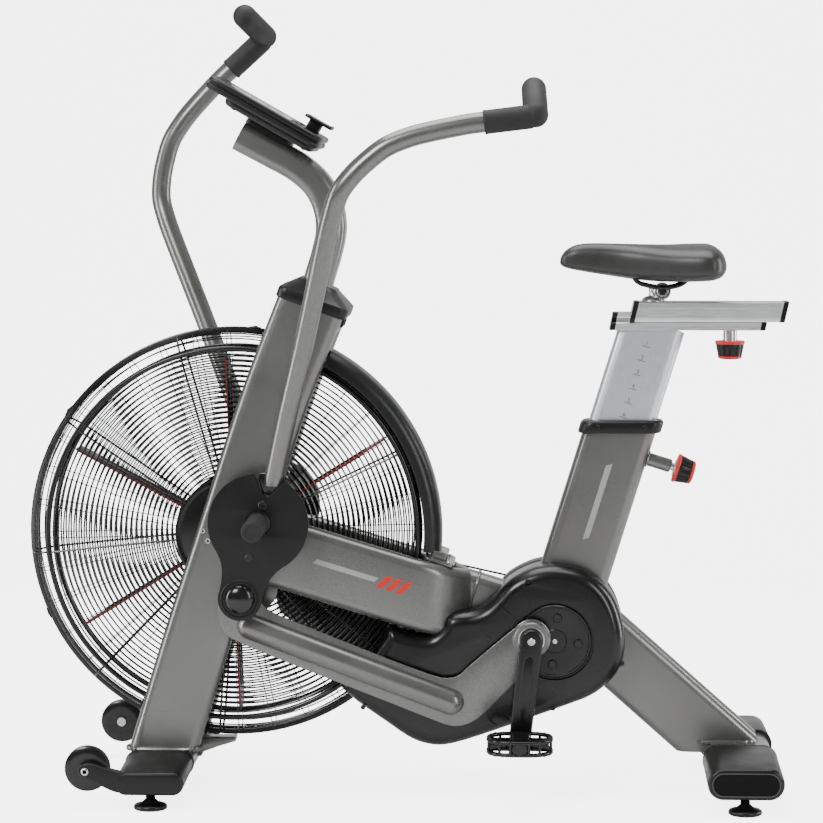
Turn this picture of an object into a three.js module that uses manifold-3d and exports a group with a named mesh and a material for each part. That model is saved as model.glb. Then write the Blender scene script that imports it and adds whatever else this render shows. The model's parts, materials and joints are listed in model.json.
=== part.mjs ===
// Air bike: a fan between two masts, driven by cranks and by two push-pull arms.
// Millimetres. +X points to the rear, +Y to the rider's right, +Z up.
// The origin is on the floor, below the middle of the whole bike.

import * as THREE from 'three';
import { mergeVertices } from 'three/addons/utils/BufferGeometryUtils.js';
import Module from 'manifold-3d';

const wasm = await Module();
wasm.setup();

const GAP = 0.3;                       // clearance between pieces that touch
const CAP_DROOP = 7;                   // how much lower the outer end of a stabilizer cap is
const WALL = 3;                        // wall of the frame tubes
const DEG = Math.PI / 180;

// ---- main centres, as [x, z] in the side view ----
const FAN = [-304, 450.5];               // fan shaft
const PIVOT = [-250, 481];             // arm pivot and foot peg
const LEVER_END = [-282, 350];         // lower end of the left arm's lever
const CRANK = [262, 271];              // crank axis
const CRANK_PIN = [221.4, 279];        // left crank pin, 41 mm off the crank axis
const PEDAL = [202.5, 112];            // left pedal axle, 170 mm off the crank axis
const WHEEL = [-537, 68];              // transport wheels
const TILT = [447, 877];               // saddle tilt bolt

// ---- heights and widths in the Y direction, measured from the middle ----
const TUBE_HEIGHT = 118;               // tall side of the masts and the rear leg
const BEAM_HEIGHT = 122;               // tall side of the beams and the centre tube
const SEAT_TUBE_DEPTH = 123;           // seat tube, front to back
const POST_DEPTH = 113.5;              // seat post, front to back
const FORK_INNER = 50;                 // masts and beams lie between these two
const FORK_OUTER = 90;
const CENTRE_HALF = 25;                // seat tube, centre tube and rear leg
const CASING_HALF = 84;
const LINK_INNER = 94;
const LINK_OUTER = 100;
const ARM_Y = 118;                     // arm tube at the pivot
const ARM_TOP_Y = 240;                 // arm tube at the grips
const CRANK_INNER = 126;
const CRANK_OUTER = 142;

// ---- fan guard ----
const GUARD_RADIUS = 362;
const GUARD_FACE_RADIUS = 325;
const GUARD_HALF = 44;

// ---- slopes ----
const BEAM_SLOPE = -16.9 * DEG;        // beams and centre tube fall to the rear
const SEAT_LEAN = 17.2 * DEG;          // seat tube leans to the rear
const LEG_SLOPE = -41.5 * DEG;         // rear leg
const CONSOLE_SLOPE = -29.7 * DEG;     // face of the console
const ARM_SWING = -35.5 * DEG;         // right arm stands this far ahead of the left
const LINK_TURN = 2.5 * DEG;           // right link against the left link

// ---------------------------------------------------------------- materials

function material(color, roughness, metalness) {
  return new THREE.MeshStandardMaterial({ color, roughness, metalness });
}

const graphite = () => material(0x6c6c66, 0.42, 0.75);
const blackPlastic = () => material(0x28292a, 0.5, 0.05);
const blackSteel = () => material(0x17181a, 0.35, 0.4);
const brightAluminium = () => material(0xc8cbcd, 0.3, 0.9);
const steel = () => material(0xb4b7ba, 0.25, 1);
const darkRubber = () => material(0x3a3a3a, 0.85, 0);
const vinyl = () => material(0x454543, 0.5, 0);

// ------------------------------------------------------------ solid helpers

function solid(geometry) {
  const bare = geometry.clone();
  bare.deleteAttribute('normal');
  bare.deleteAttribute('uv');
  const merged = mergeVertices(bare, 1e-4);
  const vertProperties = new Float32Array(merged.attributes.position.array);
  const triVerts = new Uint32Array(merged.index.array);
  return new wasm.Manifold(new wasm.Mesh({ numProp: 3, vertProperties, triVerts }));
}

function geometryOf(body) {
  const mesh = body.getMesh();
  const geometry = new THREE.BufferGeometry();
  geometry.setAttribute('position', new THREE.BufferAttribute(mesh.vertProperties, 3));
  geometry.setIndex(new THREE.BufferAttribute(mesh.triVerts, 1));
  return geometry;
}

function join(first, ...others) {
  let body = first;
  for (const other of others) body = body.add(other);
  return body;
}

function cut(first, ...others) {
  let body = first;
  for (const other of others) body = body.subtract(other);
  return body;
}

function mirrored(body) {
  const geometry = geometryOf(body);
  geometry.scale(1, -1, 1);
  const index = geometry.index.array;
  for (let i = 0; i < index.length; i += 3) {
    const keep = index[i];
    index[i] = index[i + 1];
    index[i + 1] = keep;
  }
  return solid(geometry);
}

function turned(body, [x, z], angle) {
  const geometry = geometryOf(body);
  geometry.translate(-x, 0, -z);
  geometry.rotateY(angle);
  geometry.translate(x, 0, z);
  return solid(geometry);
}

function moved(body, x, y, z) {
  const geometry = geometryOf(body);
  geometry.translate(x, y, z);
  return solid(geometry);
}

// ------------------------------------------------------------ shape helpers

function points(list) {
  return list.map(([x, y]) => new THREE.Vector2(x, y));
}

function roundedRectangle(width, height, radius, steps = 2) {
  const corners = [[1, 1, 0], [-1, 1, 90], [-1, -1, 180], [1, -1, 270]];
  const list = [];
  for (const [sx, sy, start] of corners) {
    for (let i = 0; i <= steps; i += 1) {
      const angle = (start + (90 * i) / steps) * DEG;
      const x = sx * (width / 2 - radius) + radius * Math.cos(angle);
      const y = sy * (height / 2 - radius) + radius * Math.sin(angle);
      list.push([x, y]);
    }
  }
  return new THREE.Shape(points(list));
}

function polygonCircle(radius, sides) {
  const list = [];
  for (let i = 0; i < sides; i += 1) {
    const angle = (2 * Math.PI * i) / sides;
    list.push([radius * Math.cos(angle), radius * Math.sin(angle)]);
  }
  return new THREE.Shape(points(list));
}

// A side-view outline made solid between y0 and y1, with its edges rounded by bevel.
function sidePlate(outline, y0, y1, bevel = 0, bevelSteps = 2) {
  const shape = outline instanceof THREE.Shape ? outline : new THREE.Shape(points(outline));
  const geometry = new THREE.ExtrudeGeometry(shape, {
    depth: y1 - y0 - 2 * bevel,
    steps: 1,
    bevelEnabled: bevel > 0,
    bevelThickness: bevel,
    bevelSize: bevel,
    bevelOffset: -bevel,
    bevelSegments: bevelSteps,
    curveSegments: 8,
  });
  geometry.rotateX(Math.PI / 2);
  geometry.translate(0, y1 - bevel, 0);
  return solid(geometry);
}

// A round bar along Y.
function barY([x, z], radius, y0, y1, sides = 16) {
  const geometry = new THREE.CylinderGeometry(radius, radius, y1 - y0, sides);
  geometry.translate(x, (y0 + y1) / 2, z);
  return solid(geometry);
}

// A round or tapered bar between two points in space.
function bar(from, to, radius, endRadius = radius, sides = 14) {
  const start = new THREE.Vector3(...from);
  const end = new THREE.Vector3(...to);
  const length = start.distanceTo(end);
  const geometry = new THREE.CylinderGeometry(endRadius, radius, length, sides);
  const direction = end.clone().sub(start).normalize();
  const up = new THREE.Vector3(0, 1, 0);
  geometry.applyQuaternion(new THREE.Quaternion().setFromUnitVectors(up, direction));
  geometry.translate(...start.add(end).multiplyScalar(0.5).toArray());
  return solid(geometry);
}

function box(x0, x1, y0, y1, z0, z1) {
  const geometry = new THREE.BoxGeometry(x1 - x0, y1 - y0, z1 - z0);
  geometry.translate((x0 + x1) / 2, (y0 + y1) / 2, (z0 + z1) / 2);
  return solid(geometry);
}

// Everything on one side of a line in the side view: the side its normal points to.
function beyond([x, z], normalAngle) {
  const size = 3000;
  const geometry = new THREE.BoxGeometry(size, size, size);
  geometry.translate(size / 2, 0, 0);
  geometry.rotateY(-normalAngle);
  geometry.translate(x, 0, z);
  return solid(geometry);
}

// A shape of revolution about Y through [x, z]; the profile holds [radius, y] pairs.
function spinY([x, z], profile, segments = 20) {
  const geometry = new THREE.LatheGeometry(points(profile), segments);
  geometry.translate(x, 0, z);
  return solid(geometry);
}

// A section swept along a curve. The section's first size lies along Y.
function sweep(section, curve, steps) {
  const settings = { steps, extrudePath: curve, curveSegments: 4, bevelEnabled: false };
  return solid(new THREE.ExtrudeGeometry(section, settings));
}

function curveThrough(list) {
  const path = list.map(([x, y, z]) => new THREE.Vector3(x, y, z));
  return new THREE.CatmullRomCurve3(path, false, 'centripetal');
}

function straight(from, to) {
  return new THREE.LineCurve3(new THREE.Vector3(...from), new THREE.Vector3(...to));
}

function tubeSection(thickness, height, grow = 0) {
  const corner = Math.min(19, thickness / 2 - 1) + grow;
  const steps = grow < 0 ? 1 : 2;
  return roundedRectangle(thickness + 2 * grow, height + 2 * grow, corner, steps);
}

// -------------------------------------------------------------- frame tubes

const mastPath = curveThrough([
  [-430, -70, 53], [-414, -70, 105], [-362.5, -70, 273], [-289, -70, 499],
  [-226, -70, 691], [-164, -70, 852], [-157, -70, 870],
]);
const mastBottom = beyond([0, 74 + GAP], -90 * DEG);
const mastTop = beyond([-164, 851], 70 * DEG);

function mastSolid(grow) {
  const thickness = FORK_OUTER - FORK_INNER;
  return sweep(tubeSection(thickness, TUBE_HEIGHT, grow), mastPath, 5);
}

function beamHeight(x) {
  return 350 + (x - 19) * Math.tan(BEAM_SLOPE);
}

function beamSolid(grow) {
  const plan = [[-280, 70], [-20, 70], [25, 69], [52, 61], [75, 43], [97, 14]];
  const path = curveThrough(plan.map(([x, y]) => [x, -y, beamHeight(x)]));
  return sweep(tubeSection(FORK_OUTER - FORK_INNER, BEAM_HEIGHT, grow), path, 8);
}

function centreSolid(grow, from = 90) {
  const path = straight([from, 0, beamHeight(from)], [262, 0, beamHeight(262)]);
  return sweep(tubeSection(2 * CENTRE_HALF - 2, BEAM_HEIGHT, grow), path, 1);
}

function alongSeatTube(distance) {
  return [CRANK[0] + distance * Math.sin(SEAT_LEAN), CRANK[1] + distance * Math.cos(SEAT_LEAN)];
}

function seatSolid(thickness, height, from, to, grow = 0) {
  const [x0, z0] = alongSeatTube(from);
  const [x1, z1] = alongSeatTube(to);
  return sweep(tubeSection(thickness, height, grow), straight([x0, 0, z0], [x1, 0, z1]), 1);
}

function legSolid(grow) {
  const reach = (x) => 226.5 + (x - 384) * Math.tan(LEG_SLOPE);
  const path = straight([270, 0, reach(270)], [640, 0, reach(640)]);
  return sweep(tubeSection(2 * CENTRE_HALF, TUBE_HEIGHT, grow), path, 1);
}

const BEAM_HOLLOW = beamSolid(-WALL);
const CENTRE_HOLLOW = centreSolid(-WALL, 80);
const SEAT_OUTER = seatSolid(2 * CENTRE_HALF, SEAT_TUBE_DEPTH, -62, 402);
const SEAT_GROWN = seatSolid(2 * CENTRE_HALF, SEAT_TUBE_DEPTH, -63, 402, GAP);

// ---- belt loop from the crank to the fan shaft, inside the right beam ----
const FAN_PULLEY_RADIUS = 18;
const DRIVE_PULLEY_RADIUS = 72;
const BELT_INNER = 62;
const BELT_OUTER = 72;

function beltOutline(grow) {
  const [x1, z1] = FAN;
  const [x2, z2] = CRANK;
  const small = FAN_PULLEY_RADIUS + grow;
  const large = DRIVE_PULLEY_RADIUS + grow;
  const heading = Math.atan2(z2 - z1, x2 - x1);
  const wrap = Math.acos((small - large) / Math.hypot(x2 - x1, z2 - z1));
  const list = [];
  for (let i = 0; i <= 10; i += 1) {
    const angle = heading + wrap + ((2 * Math.PI - 2 * wrap) * i) / 10;
    list.push([x1 + small * Math.cos(angle), z1 + small * Math.sin(angle)]);
  }
  for (let i = 0; i <= 20; i += 1) {
    const angle = heading - wrap + (2 * wrap * i) / 20;
    list.push([x2 + large * Math.cos(angle), z2 + large * Math.sin(angle)]);
  }
  return list;
}

const beltTunnel = sidePlate(beltOutline(7), BELT_INNER - 4, BELT_OUTER + 4);

function makeBelt() {
  const outer = sidePlate(beltOutline(3), BELT_INNER, BELT_OUTER);
  return cut(outer, sidePlate(beltOutline(0.5), BELT_INNER - 1, BELT_OUTER + 1));
}

function makeMast() {
  const tube = cut(mastSolid(0), mastSolid(-WALL), mastBottom, mastTop);
  return cut(tube, barY(FAN, 16, -60, -45));
}

function makeBeam() {
  const outer = cut(beamSolid(0), BEAM_HOLLOW, mastSolid(GAP), centreSolid(GAP, 82));
  return cut(outer, box(-400, 400, -0.2, 60, 0, 900));
}

function makeCentreTube() {
  return cut(centreSolid(0), CENTRE_HOLLOW, SEAT_GROWN);
}

function makeSeatTube() {
  const hollow = seatSolid(2 * CENTRE_HALF - 5, SEAT_TUBE_DEPTH - 5, -65, 405);
  const topPlane = beyond([0, 634], 90 * DEG);
  const tube = cut(SEAT_OUTER, hollow, topPlane);
  const boss = cut(pinBar(59.5, 104, 12), pinBar(50, 110, 5.2));
  const bossHole = pinBar(45, 62, 5.2);
  const shell = cut(barY(CRANK, 31, -26, 26), barY(CRANK, 22.5, -30, 30));
  return join(cut(tube, bossHole, barY(CRANK, 30, -40, 40)), boss, shell);
}

function makeRearLeg() {
  const outer = cut(legSolid(0), legSolid(-WALL));
  const underside = beyond([0, 66], -90 * DEG);
  const end = beyond([598, 0], 0);
  const tube = acrossBar(585, 62, 118.8, 44.8, 21.4, -60, 60);
  return cut(outer, underside, end, SEAT_GROWN, centreSolid(GAP), tube);
}

function pinPoint(distance) {
  const [x, z] = alongSeatTube((600.5 - CRANK[1]) / Math.cos(SEAT_LEAN));
  return [x + distance * Math.cos(SEAT_LEAN), 0, z - distance * Math.sin(SEAT_LEAN)];
}

function pinBar(from, to, radius, endRadius = radius) {
  return bar(pinPoint(from), pinPoint(to), radius, endRadius);
}

function makeBridge() {
  const outline = [[-216, 867], [-107, 836], [-118, 806], [-131, 795], [-160, 806], [-232, 828]];
  const middle = 46;
  const block = sidePlate(outline, -FORK_INNER + GAP, FORK_INNER - GAP);
  const clearing = barY(FAN, GUARD_RADIUS + 4, -60, 60, 48);
  const hollow = box(-300, 0, -middle, middle, 700, 900);
  const topPlate = sidePlate([[-216, 867], [-107, 836], [-110, 829], [-219, 860]], -49, 49);
  const rearPlate = sidePlate([[-107, 836], [-118, 806], [-124, 806], [-113, 836]], -49, 49);
  return cut(join(cut(block, clearing, hollow), topPlate, rearPlate), mastTop);
}

// ------------------------------------------------------------- stabilizers

// Stadium-like section, width along X and height along Z, swept along Y.
function acrossBar(x, z, width, height, radius, y0, y1) {
  const shape = roundedRectangle(width, height, radius);
  const geometry = new THREE.ExtrudeGeometry(shape, { depth: y1 - y0, bevelEnabled: false });
  geometry.rotateX(Math.PI / 2);
  geometry.translate(x, y1, z);
  return solid(geometry);
}

function makeFrontStabilizer() {
  const outer = acrossBar(-428, 54, 110, 32, 15, -140, 140);
  const saddleBlock = acrossBar(-428, 54, 118, 40, 19, -93.5, 93.5);
  const hollow = acrossBar(-428, 54, 104, 26, 12, -245, 245);
  const tongue = sidePlate([[-371, 52], [-372, 68], [-330, 78], [-300, 82], [-300, 77]], -20, 20);
  return join(cut(join(outer, saddleBlock), hollow), cut(tongue, hollow));
}

function makeRearStabilizer() {
  const outer = acrossBar(585, 62, 118, 44, 21, -140, 140);
  return cut(outer, acrossBar(585, 62, 112, 38, 18, -245, 245));
}

// Lowers a cap little by little from its inner end to its outer end.
function drooped(body, start) {
  const geometry = geometryOf(body);
  const place = geometry.attributes.position;
  for (let i = 0; i < place.count; i += 1) {
    const out = Math.max(0, -place.getY(i) - start);
    place.setZ(i, place.getZ(i) - (CAP_DROOP * out) / (250 - start));
  }
  return solid(geometry);
}

function makeRearCap() {
  const sleeve = drooped(acrossBar(585.5, 62, 130, 54, 26, -250, -68), 68);
  const socket = acrossBar(585, 62, 118.8, 44.8, 21.4, -142, -60);
  const hollow = drooped(acrossBar(585, 62, 118.8, 44.8, 21.4, -241, -141), 68);
  return cut(sleeve, socket, hollow);
}

function makeFrontCap() {
  const sleeve = drooped(acrossBar(-428, 54, 118, 40, 19, -250, -94), 94);
  const socket = acrossBar(-428, 54, 110.8, 32.8, 15.4, -142, -90);
  const hollow = drooped(acrossBar(-428, 54, 110.8, 32.8, 15.4, -241, -141), 94);
  const arm = sidePlate([
    [-462, 28], [-484, 30], [-508, 42], [-530, 54], [-546, 57], [-552, 70], [-546, 83],
    [-532, 86], [-518, 82], [-499, 72.5], [-476, 68], [-462, 68],
  ], -250, -229);
  const axle = barY(WHEEL, 4.6, -252, -203, 16);
  const head = barY(WHEEL, 8, -254, -249, 16);
  const nut = barY(WHEEL, 8, -205.5, -200, 6);
  return join(cut(join(sleeve, arm), socket, hollow), axle, head, nut);
}

function makeWheel() {
  const tread = 39;
  return spinY(WHEEL, [
    [5, -228.4], [36, -228.4], [tread, -225], [tread, -209], [36, -206], [5, -206], [5, -228.4],
  ], 24);
}

function makeFoot(x, y, top) {
  const profile = points([[0, 0], [28.5, 0], [28, 5], [17, 11], [8.5, 13], [8.5, top], [0, top]]);
  const geometry = new THREE.LatheGeometry(profile, 16);
  geometry.rotateX(Math.PI / 2);
  geometry.translate(x, y, 0);
  return solid(geometry);
}

// --------------------------------------------------------------- fan, guard

function makeFanWheel() {
  const hub = barY(FAN, 70, -26, 26, 24);
  const bore = barY(FAN, 10.4, -40, 40, 16);
  let wheel = hub;
  for (let i = 0; i < 6; i += 1) {
    const blade = box(FAN[0] + 60, FAN[0] + 314, -36, 36, FAN[1] - 1.5, FAN[1] + 1.5);
    wheel = wheel.add(turned(blade, FAN, -(32 + 60 * i) * DEG));
  }
  return cut(wheel, bore);
}

function makeFanShaft() {
  const shaft = barY(FAN, 10, -56, 76, 16);
  const pulley = barY(FAN, FAN_PULLEY_RADIUS, BELT_INNER - 1, BELT_OUTER + 1, 20);
  return join(shaft, pulley);
}

function ringY(centre, outer, inner, y0, y1, sides = 48) {
  return cut(barY(centre, outer, y0, y1, sides), barY(centre, inner, y0 - 1, y1 + 1, sides));
}

function makeGuard() {
  const faceY = -GUARD_HALF;
  const rim = ringY(FAN, GUARD_RADIUS, GUARD_RADIUS - 7, -7, -0.2, 24);
  const face = ringY(FAN, GUARD_FACE_RADIUS, GUARD_FACE_RADIUS - 6, faceY, faceY + 4, 20);
  const plate = ringY(FAN, 101, 22, faceY, faceY + 3, 12);
  let guard = join(rim, face, plate);
  for (let i = 0; i < 6; i += 1) {
    const spoke = box(FAN[0] + 98, FAN[0] + 322, faceY + 0.5, faceY + 3.5, FAN[1] - 2.5, FAN[1] + 2.5);
    const strut = plankXY([[320, 40.3], [326, 44], [361, 6.8], [361, 0.2], [357, 0.2]], 2.5);
    guard = join(guard, turned(spoke, FAN, -60 * i * DEG), turned(strut, FAN, -60 * i * DEG));
  }
  return guard;
}

// An outline of [radius, depth towards -Y] pairs, half thick on either side of the fan's level.
function plankXY(outline, half) {
  const shape = new THREE.Shape(points(outline.map(([r, y]) => [FAN[0] + r, -y])));
  const geometry = new THREE.ExtrudeGeometry(shape, { depth: 2 * half, bevelEnabled: false });
  geometry.translate(0, 0, FAN[1] - half);
  return solid(geometry);
}

// The space the guard stands in, a little larger than the guard itself.
function guardEnvelope() {
  return spinY(FAN, [[0, -47], [330, -47], [366, -10], [366, 10], [330, 47], [0, 47]], 32);
}

function makeFender() {
  const shell = spinY(FAN, [
    [338, -49.5], [352, -48], [362, -40], [367.5, -25], [367.5, 25], [362, 40], [352, 48],
    [338, 49.5], [338, 46.5], [350, 45], [359, 37.5], [363.5, 24], [363.5, -24], [359, -37.5],
    [350, -45], [338, -46.5], [338, -49.5],
  ], 60);
  const arch = cut(shell, beyond(FAN, -95 * DEG), beyond(FAN, 151.5 * DEG));
  const foot = box(34, 88, -60, 60, 0, 6);
  const post = box(38, 72, -48, 48, 0, 20);
  const seat = turned(join(foot, post), [0, 0], -BEAM_SLOPE);
  const lift = beamHeight(0) + BEAM_HEIGHT / 2 / Math.cos(BEAM_SLOPE) + 1;
  return join(arch, cut(moved(seat, 0, 0, lift), fenderCore()));
}

// The round space inside the fender, where the guard stands.
function fenderCore() {
  return spinY(FAN, [[0, -60], [338, -60], [338, -46.6], [350, -45.1], [359, -37.6], [363.4, -24],
    [363.4, 24], [359, 37.6], [350, 45.1], [338, 46.6], [338, 60], [0, 60]], 60);
}

// ------------------------------------------------------------------ casing

const casingOutline = [
  [-113, 189], [-95, 168], [-34, 124], [9, 95], [32, 86], [58, 82], [87, 86], [180, 117],
  [226, 134], [286, 156], [325, 172], [352, 192], [372, 216], [382, 244], [384, 272],
  [379, 306], [366, 342], [349, 366], [325, 386], [296, 397], [262, 402], [232, 399],
  [207, 390], [180, 374], [155, 347], [136, 330], [115, 322], [87, 319], [73, 313],
  [63, 297], [44, 281], [20, 281], [-6, 287], [-27, 294], [-38, 273], [-58, 245], [-84, 215],
];

function insetCasing(distance) {
  const count = casingOutline.length;
  const list = [];
  for (let i = 0; i < count; i += 1) {
    const [ax, az] = casingOutline[(i + count - 1) % count];
    const [bx, bz] = casingOutline[(i + 1) % count];
    const length = Math.hypot(bx - ax, bz - az);
    const [x, z] = casingOutline[i];
    list.push([x - (distance * (bz - az)) / length, z + (distance * (bx - ax)) / length]);
  }
  return list;
}

function makeCasing() {
  const outer = sidePlate(casingOutline, -CASING_HALF, CASING_HALF, 12, 1);
  const inner = sidePlate(insetCasing(3), -CASING_HALF + 3, CASING_HALF - 3, 10, 1);
  const farSide = box(-400, 600, -0.2, 200, 0, 900);
  const discHole = barY(CRANK, 68, -90, -70, 32);
  const shell = cut(outer, inner, farSide, guardEnvelope(), discHole);
  return cut(shell, beamSolid(0.6), centreSolid(0.6), SEAT_GROWN, legSolid(0.6));
}

// ---------------------------------------------------------- cranks, pedals

function makeSpindle() {
  const shaft = barY(CRANK, 12, -CASING_HALF, CASING_HALF);
  const left = barY(CRANK, 66, -CASING_HALF, -CASING_HALF + 7, 32);
  return join(shaft, left, mirrored(left));
}

function makeDrivePulley() {
  const rim = ringY(CRANK, DRIVE_PULLEY_RADIUS, 62, BELT_INNER - 1, BELT_OUTER + 1, 24);
  const web = ringY(CRANK, 63, 12.3, BELT_INNER + 2, BELT_OUTER - 2, 16);
  return join(rim, web);
}

function makeCrankArm() {
  const [px, pz] = CRANK_PIN;
  const [ex, ez] = PEDAL;
  const heading = Math.atan2(ez - pz, ex - px);
  const list = [];
  for (let i = 0; i <= 8; i += 1) {
    const angle = heading + (90 + (180 * i) / 8) * DEG;
    list.push([px + 20 * Math.cos(angle), pz + 20 * Math.sin(angle)]);
  }
  for (let i = 0; i <= 8; i += 1) {
    const angle = heading + (-90 + (180 * i) / 8) * DEG;
    list.push([ex + 19 * Math.cos(angle), ez + 19 * Math.sin(angle)]);
  }
  const arm = sidePlate(list, -CRANK_OUTER, -CRANK_INNER, 3, 1);
  const pin = barY(CRANK_PIN, 12, -CRANK_INNER - 3, -CASING_HALF - GAP);
  const axle = barY(PEDAL, 6, -246, -CRANK_OUTER + 3, 16);
  return join(arm, pin, axle);
}

function makePedal() {
  const [x, z] = PEDAL;
  const body = box(x - 57, x + 57, -250, -150, z - 14, z + 14);
  const corner = (sx, sy) => {
    const geometry = new THREE.BoxGeometry(30, 30, 40);
    geometry.rotateZ(45 * DEG);
    geometry.translate(x + sx * 61, -200 + sy * 54, z);
    return solid(geometry);
  };
  const window = (x0, x1, y0, y1) => box(x0, x1, y0, y1, z - 20, z + 20);
  const frontWindow = window(x - 49, x - 16, -242, -160);
  const rearWindow = window(x + 16, x + 49, -242, -160);
  const bore = barY(PEDAL, 6.4, -247, -140, 16);
  const corners = [corner(1, 1), corner(1, -1), corner(-1, 1), corner(-1, -1)];
  return cut(body, frontWindow, rearWindow, bore, ...corners);
}

// --------------------------------------------------------- links and arms

function makeLink() {
  const plate = sidePlate([
    [-318, 361], [-325, 336], [-322, 300], [-312, 281], [-296, 271], [-212, 236], [-69, 181],
    [60, 130], [86, 122], [110, 126], [134, 140], [194, 202], [252, 262],
    [254, 281], [246, 299], [231, 309], [213, 309], [199, 303],
    [110, 227], [96, 212], [78, 207], [56, 209], [-69, 256], [-176, 299], [-246, 327],
    [-250, 352], [-262, 372], [-282, 381], [-304, 376],
  ], -LINK_OUTER, -LINK_INNER);
  const inside = box(-500, 500, -98, 0, 0, 600);
  const bulge = cut(ribSolid(21), inside);
  const frontPin = barY(LEVER_END, 12, -121, -95);
  const bearing = barY(CRANK_PIN, 31, -124, -95, 20);
  const body = cut(join(plate, bulge), ribSolid(18));
  return cut(join(body, frontPin, bearing), barY(CRANK_PIN, 12.5, -130, -90));
}

// The long rounded rib pressed into the link, with a dome at each end.
function ribSolid(radius) {
  const ends = [[-268, -LINK_OUTER, 296], [82, -LINK_OUTER, 166]];
  let rib = bar(ends[0], ends[1], radius, radius, 12);
  for (const end of ends) {
    const dome = new THREE.SphereGeometry(radius, 10, 6);
    dome.translate(...end);
    rib = rib.add(solid(dome));
  }
  return rib;
}

const ARM_SIDE_VIEW = [
  [-245, 470], [-232, 520], [-199, 664], [-165.4, 799], [-138.6, 915], [-123.7, 980],
  [-114, 1017], [-101, 1052], [-80, 1080], [-55, 1104], [-23, 1128], [16, 1144],
  [46, 1152], [84, 1160], [123, 1167], [170, 1172], [205, 1176],
];

function armPoint([x, z]) {
  const reach = Math.hypot(x - PIVOT[0], z - PIVOT[1]);
  const y = Math.min(ARM_TOP_Y, ARM_Y + ((ARM_TOP_Y - ARM_Y) * Math.max(0, reach - 40)) / 560);
  return [x, -y, z];
}

const armCurve = curveThrough(ARM_SIDE_VIEW.map(armPoint));

function keyhole(big, small, shrink = 0) {
  const [px, pz] = PIVOT;
  const [ex, ez] = LEVER_END;
  const length = Math.hypot(ex - px, ez - pz);
  const heading = Math.atan2(ez - pz, ex - px);
  const list = [];
  const join0 = 30 * DEG;
  for (let i = 0; i <= 18; i += 1) {
    const angle = heading + join0 + ((2 * Math.PI - 2 * join0) * i) / 18;
    list.push([px + (big - shrink) * Math.cos(angle), pz + (big - shrink) * Math.sin(angle)]);
  }
  for (let i = 0; i <= 8; i += 1) {
    const angle = heading - 95 * DEG + (190 * DEG * i) / 8;
    list.push([
      px + length * Math.cos(heading) + (small - shrink) * Math.cos(angle),
      pz + length * Math.sin(heading) + (small - shrink) * Math.sin(angle),
    ]);
  }
  return list;
}

function makeArm() {
  const tube = cut(sweep(polygonCircle(17.5, 8), armCurve, 18), box(-400, 0, -200, -90, 0, 468));
  const hub = barY(PIVOT, 38, -122.5, -92, 20);
  const lever = sidePlate(keyhole(60, 30), -128, -122.4);
  const bore = barY(PIVOT, 15.5, -140, -85);
  return cut(join(hub, lever, tube), bore, sweep(polygonCircle(14.5, 6), armCurve, 12));
}

function makeArmCover() {
  const shell = sidePlate(keyhole(87, 38), -141, -128.3, 4, 1);
  const tube = sweep(polygonCircle(18.2, 8), armCurve, 18);
  const cap = new THREE.SphereGeometry(33, 14, 8);
  cap.scale(1, 0.4, 1);
  cap.translate(LEVER_END[0], -139, LEVER_END[1]);
  const notch = sidePlate([[-236, 526], [-196, 600], [-266, 600]], -150, -120);
  const hole = barY(PIVOT, 21, -150, -120);
  const dome = cut(solid(cap), box(-500, 0, -136, 0, 0, 600));
  return cut(join(shell, dome), tube, notch, hole);
}

function makePeg() {
  const shaft = barY(PIVOT, 15, -142, -90.6);
  const grip = spinY(PIVOT, [
    [0, -255], [15, -255], [19, -252], [19, -142], [16, -141], [0, -141],
  ], 24);
  return join(shaft, grip);
}

const GRIP_OUTER = [226, -ARM_TOP_Y, 1181];
const GRIP_INNER = [222.3, -150, 1224.3];

function makeGrip() {
  const sleeve = bar([140, -ARM_TOP_Y, 1168.5], [214, -ARM_TOP_Y, 1177.6], 20.5, 20.5, 12);
  let handle = bar(GRIP_OUTER, GRIP_INNER, 21.2, 21.2, 12);
  for (const end of [GRIP_OUTER, GRIP_INNER]) {
    const dome = new THREE.SphereGeometry(21.2, 12, 8);
    dome.translate(...end);
    handle = handle.add(solid(dome));
  }
  return cut(join(sleeve, handle), sweep(polygonCircle(17.9, 8), armCurve, 18));
}

// ---------------------------------------------------------------- top, console

function makeTopCap() {
  const shape = roundedRectangle(128, 2 * (FORK_OUTER + 3), 16);
  const plate = new THREE.ExtrudeGeometry(shape, {
    depth: 16, bevelEnabled: true, bevelThickness: 14, bevelSize: 26, bevelOffset: 0,
    bevelSegments: 1,
  });
  plate.scale(128 / 180, 186 / 238, 1);
  plate.rotateY(20 * DEG);
  plate.translate(-160.5, 0, 857.6);
  const under = beyond([-164, 851.5], -110 * DEG);
  return cut(solid(plate), under, moved(consoleSolid(0.6), 0, 0, -0.5));
}

function consoleSolid(grow) {
  const path = curveThrough([
    [-159, 0, 872], [-152, 0, 900], [-139.5, 0, 942], [-131.5, 0, 985], [-137, 0, 1025],
    [-155, 0, 1061], [-188, 0, 1091], [-238, 0, 1119], [-291, 0, 1147],
  ]);
  return sweep(roundedRectangle(80 + 2 * grow, 52 + 2 * grow, 16 + grow), path, 9);
}

function consoleAt(along, across, height) {
  const c = Math.cos(CONSOLE_SLOPE);
  const s = Math.sin(CONSOLE_SLOPE);
  return [-243 + along * c - height * s, across, 1185 + along * s + height * c];
}

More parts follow.
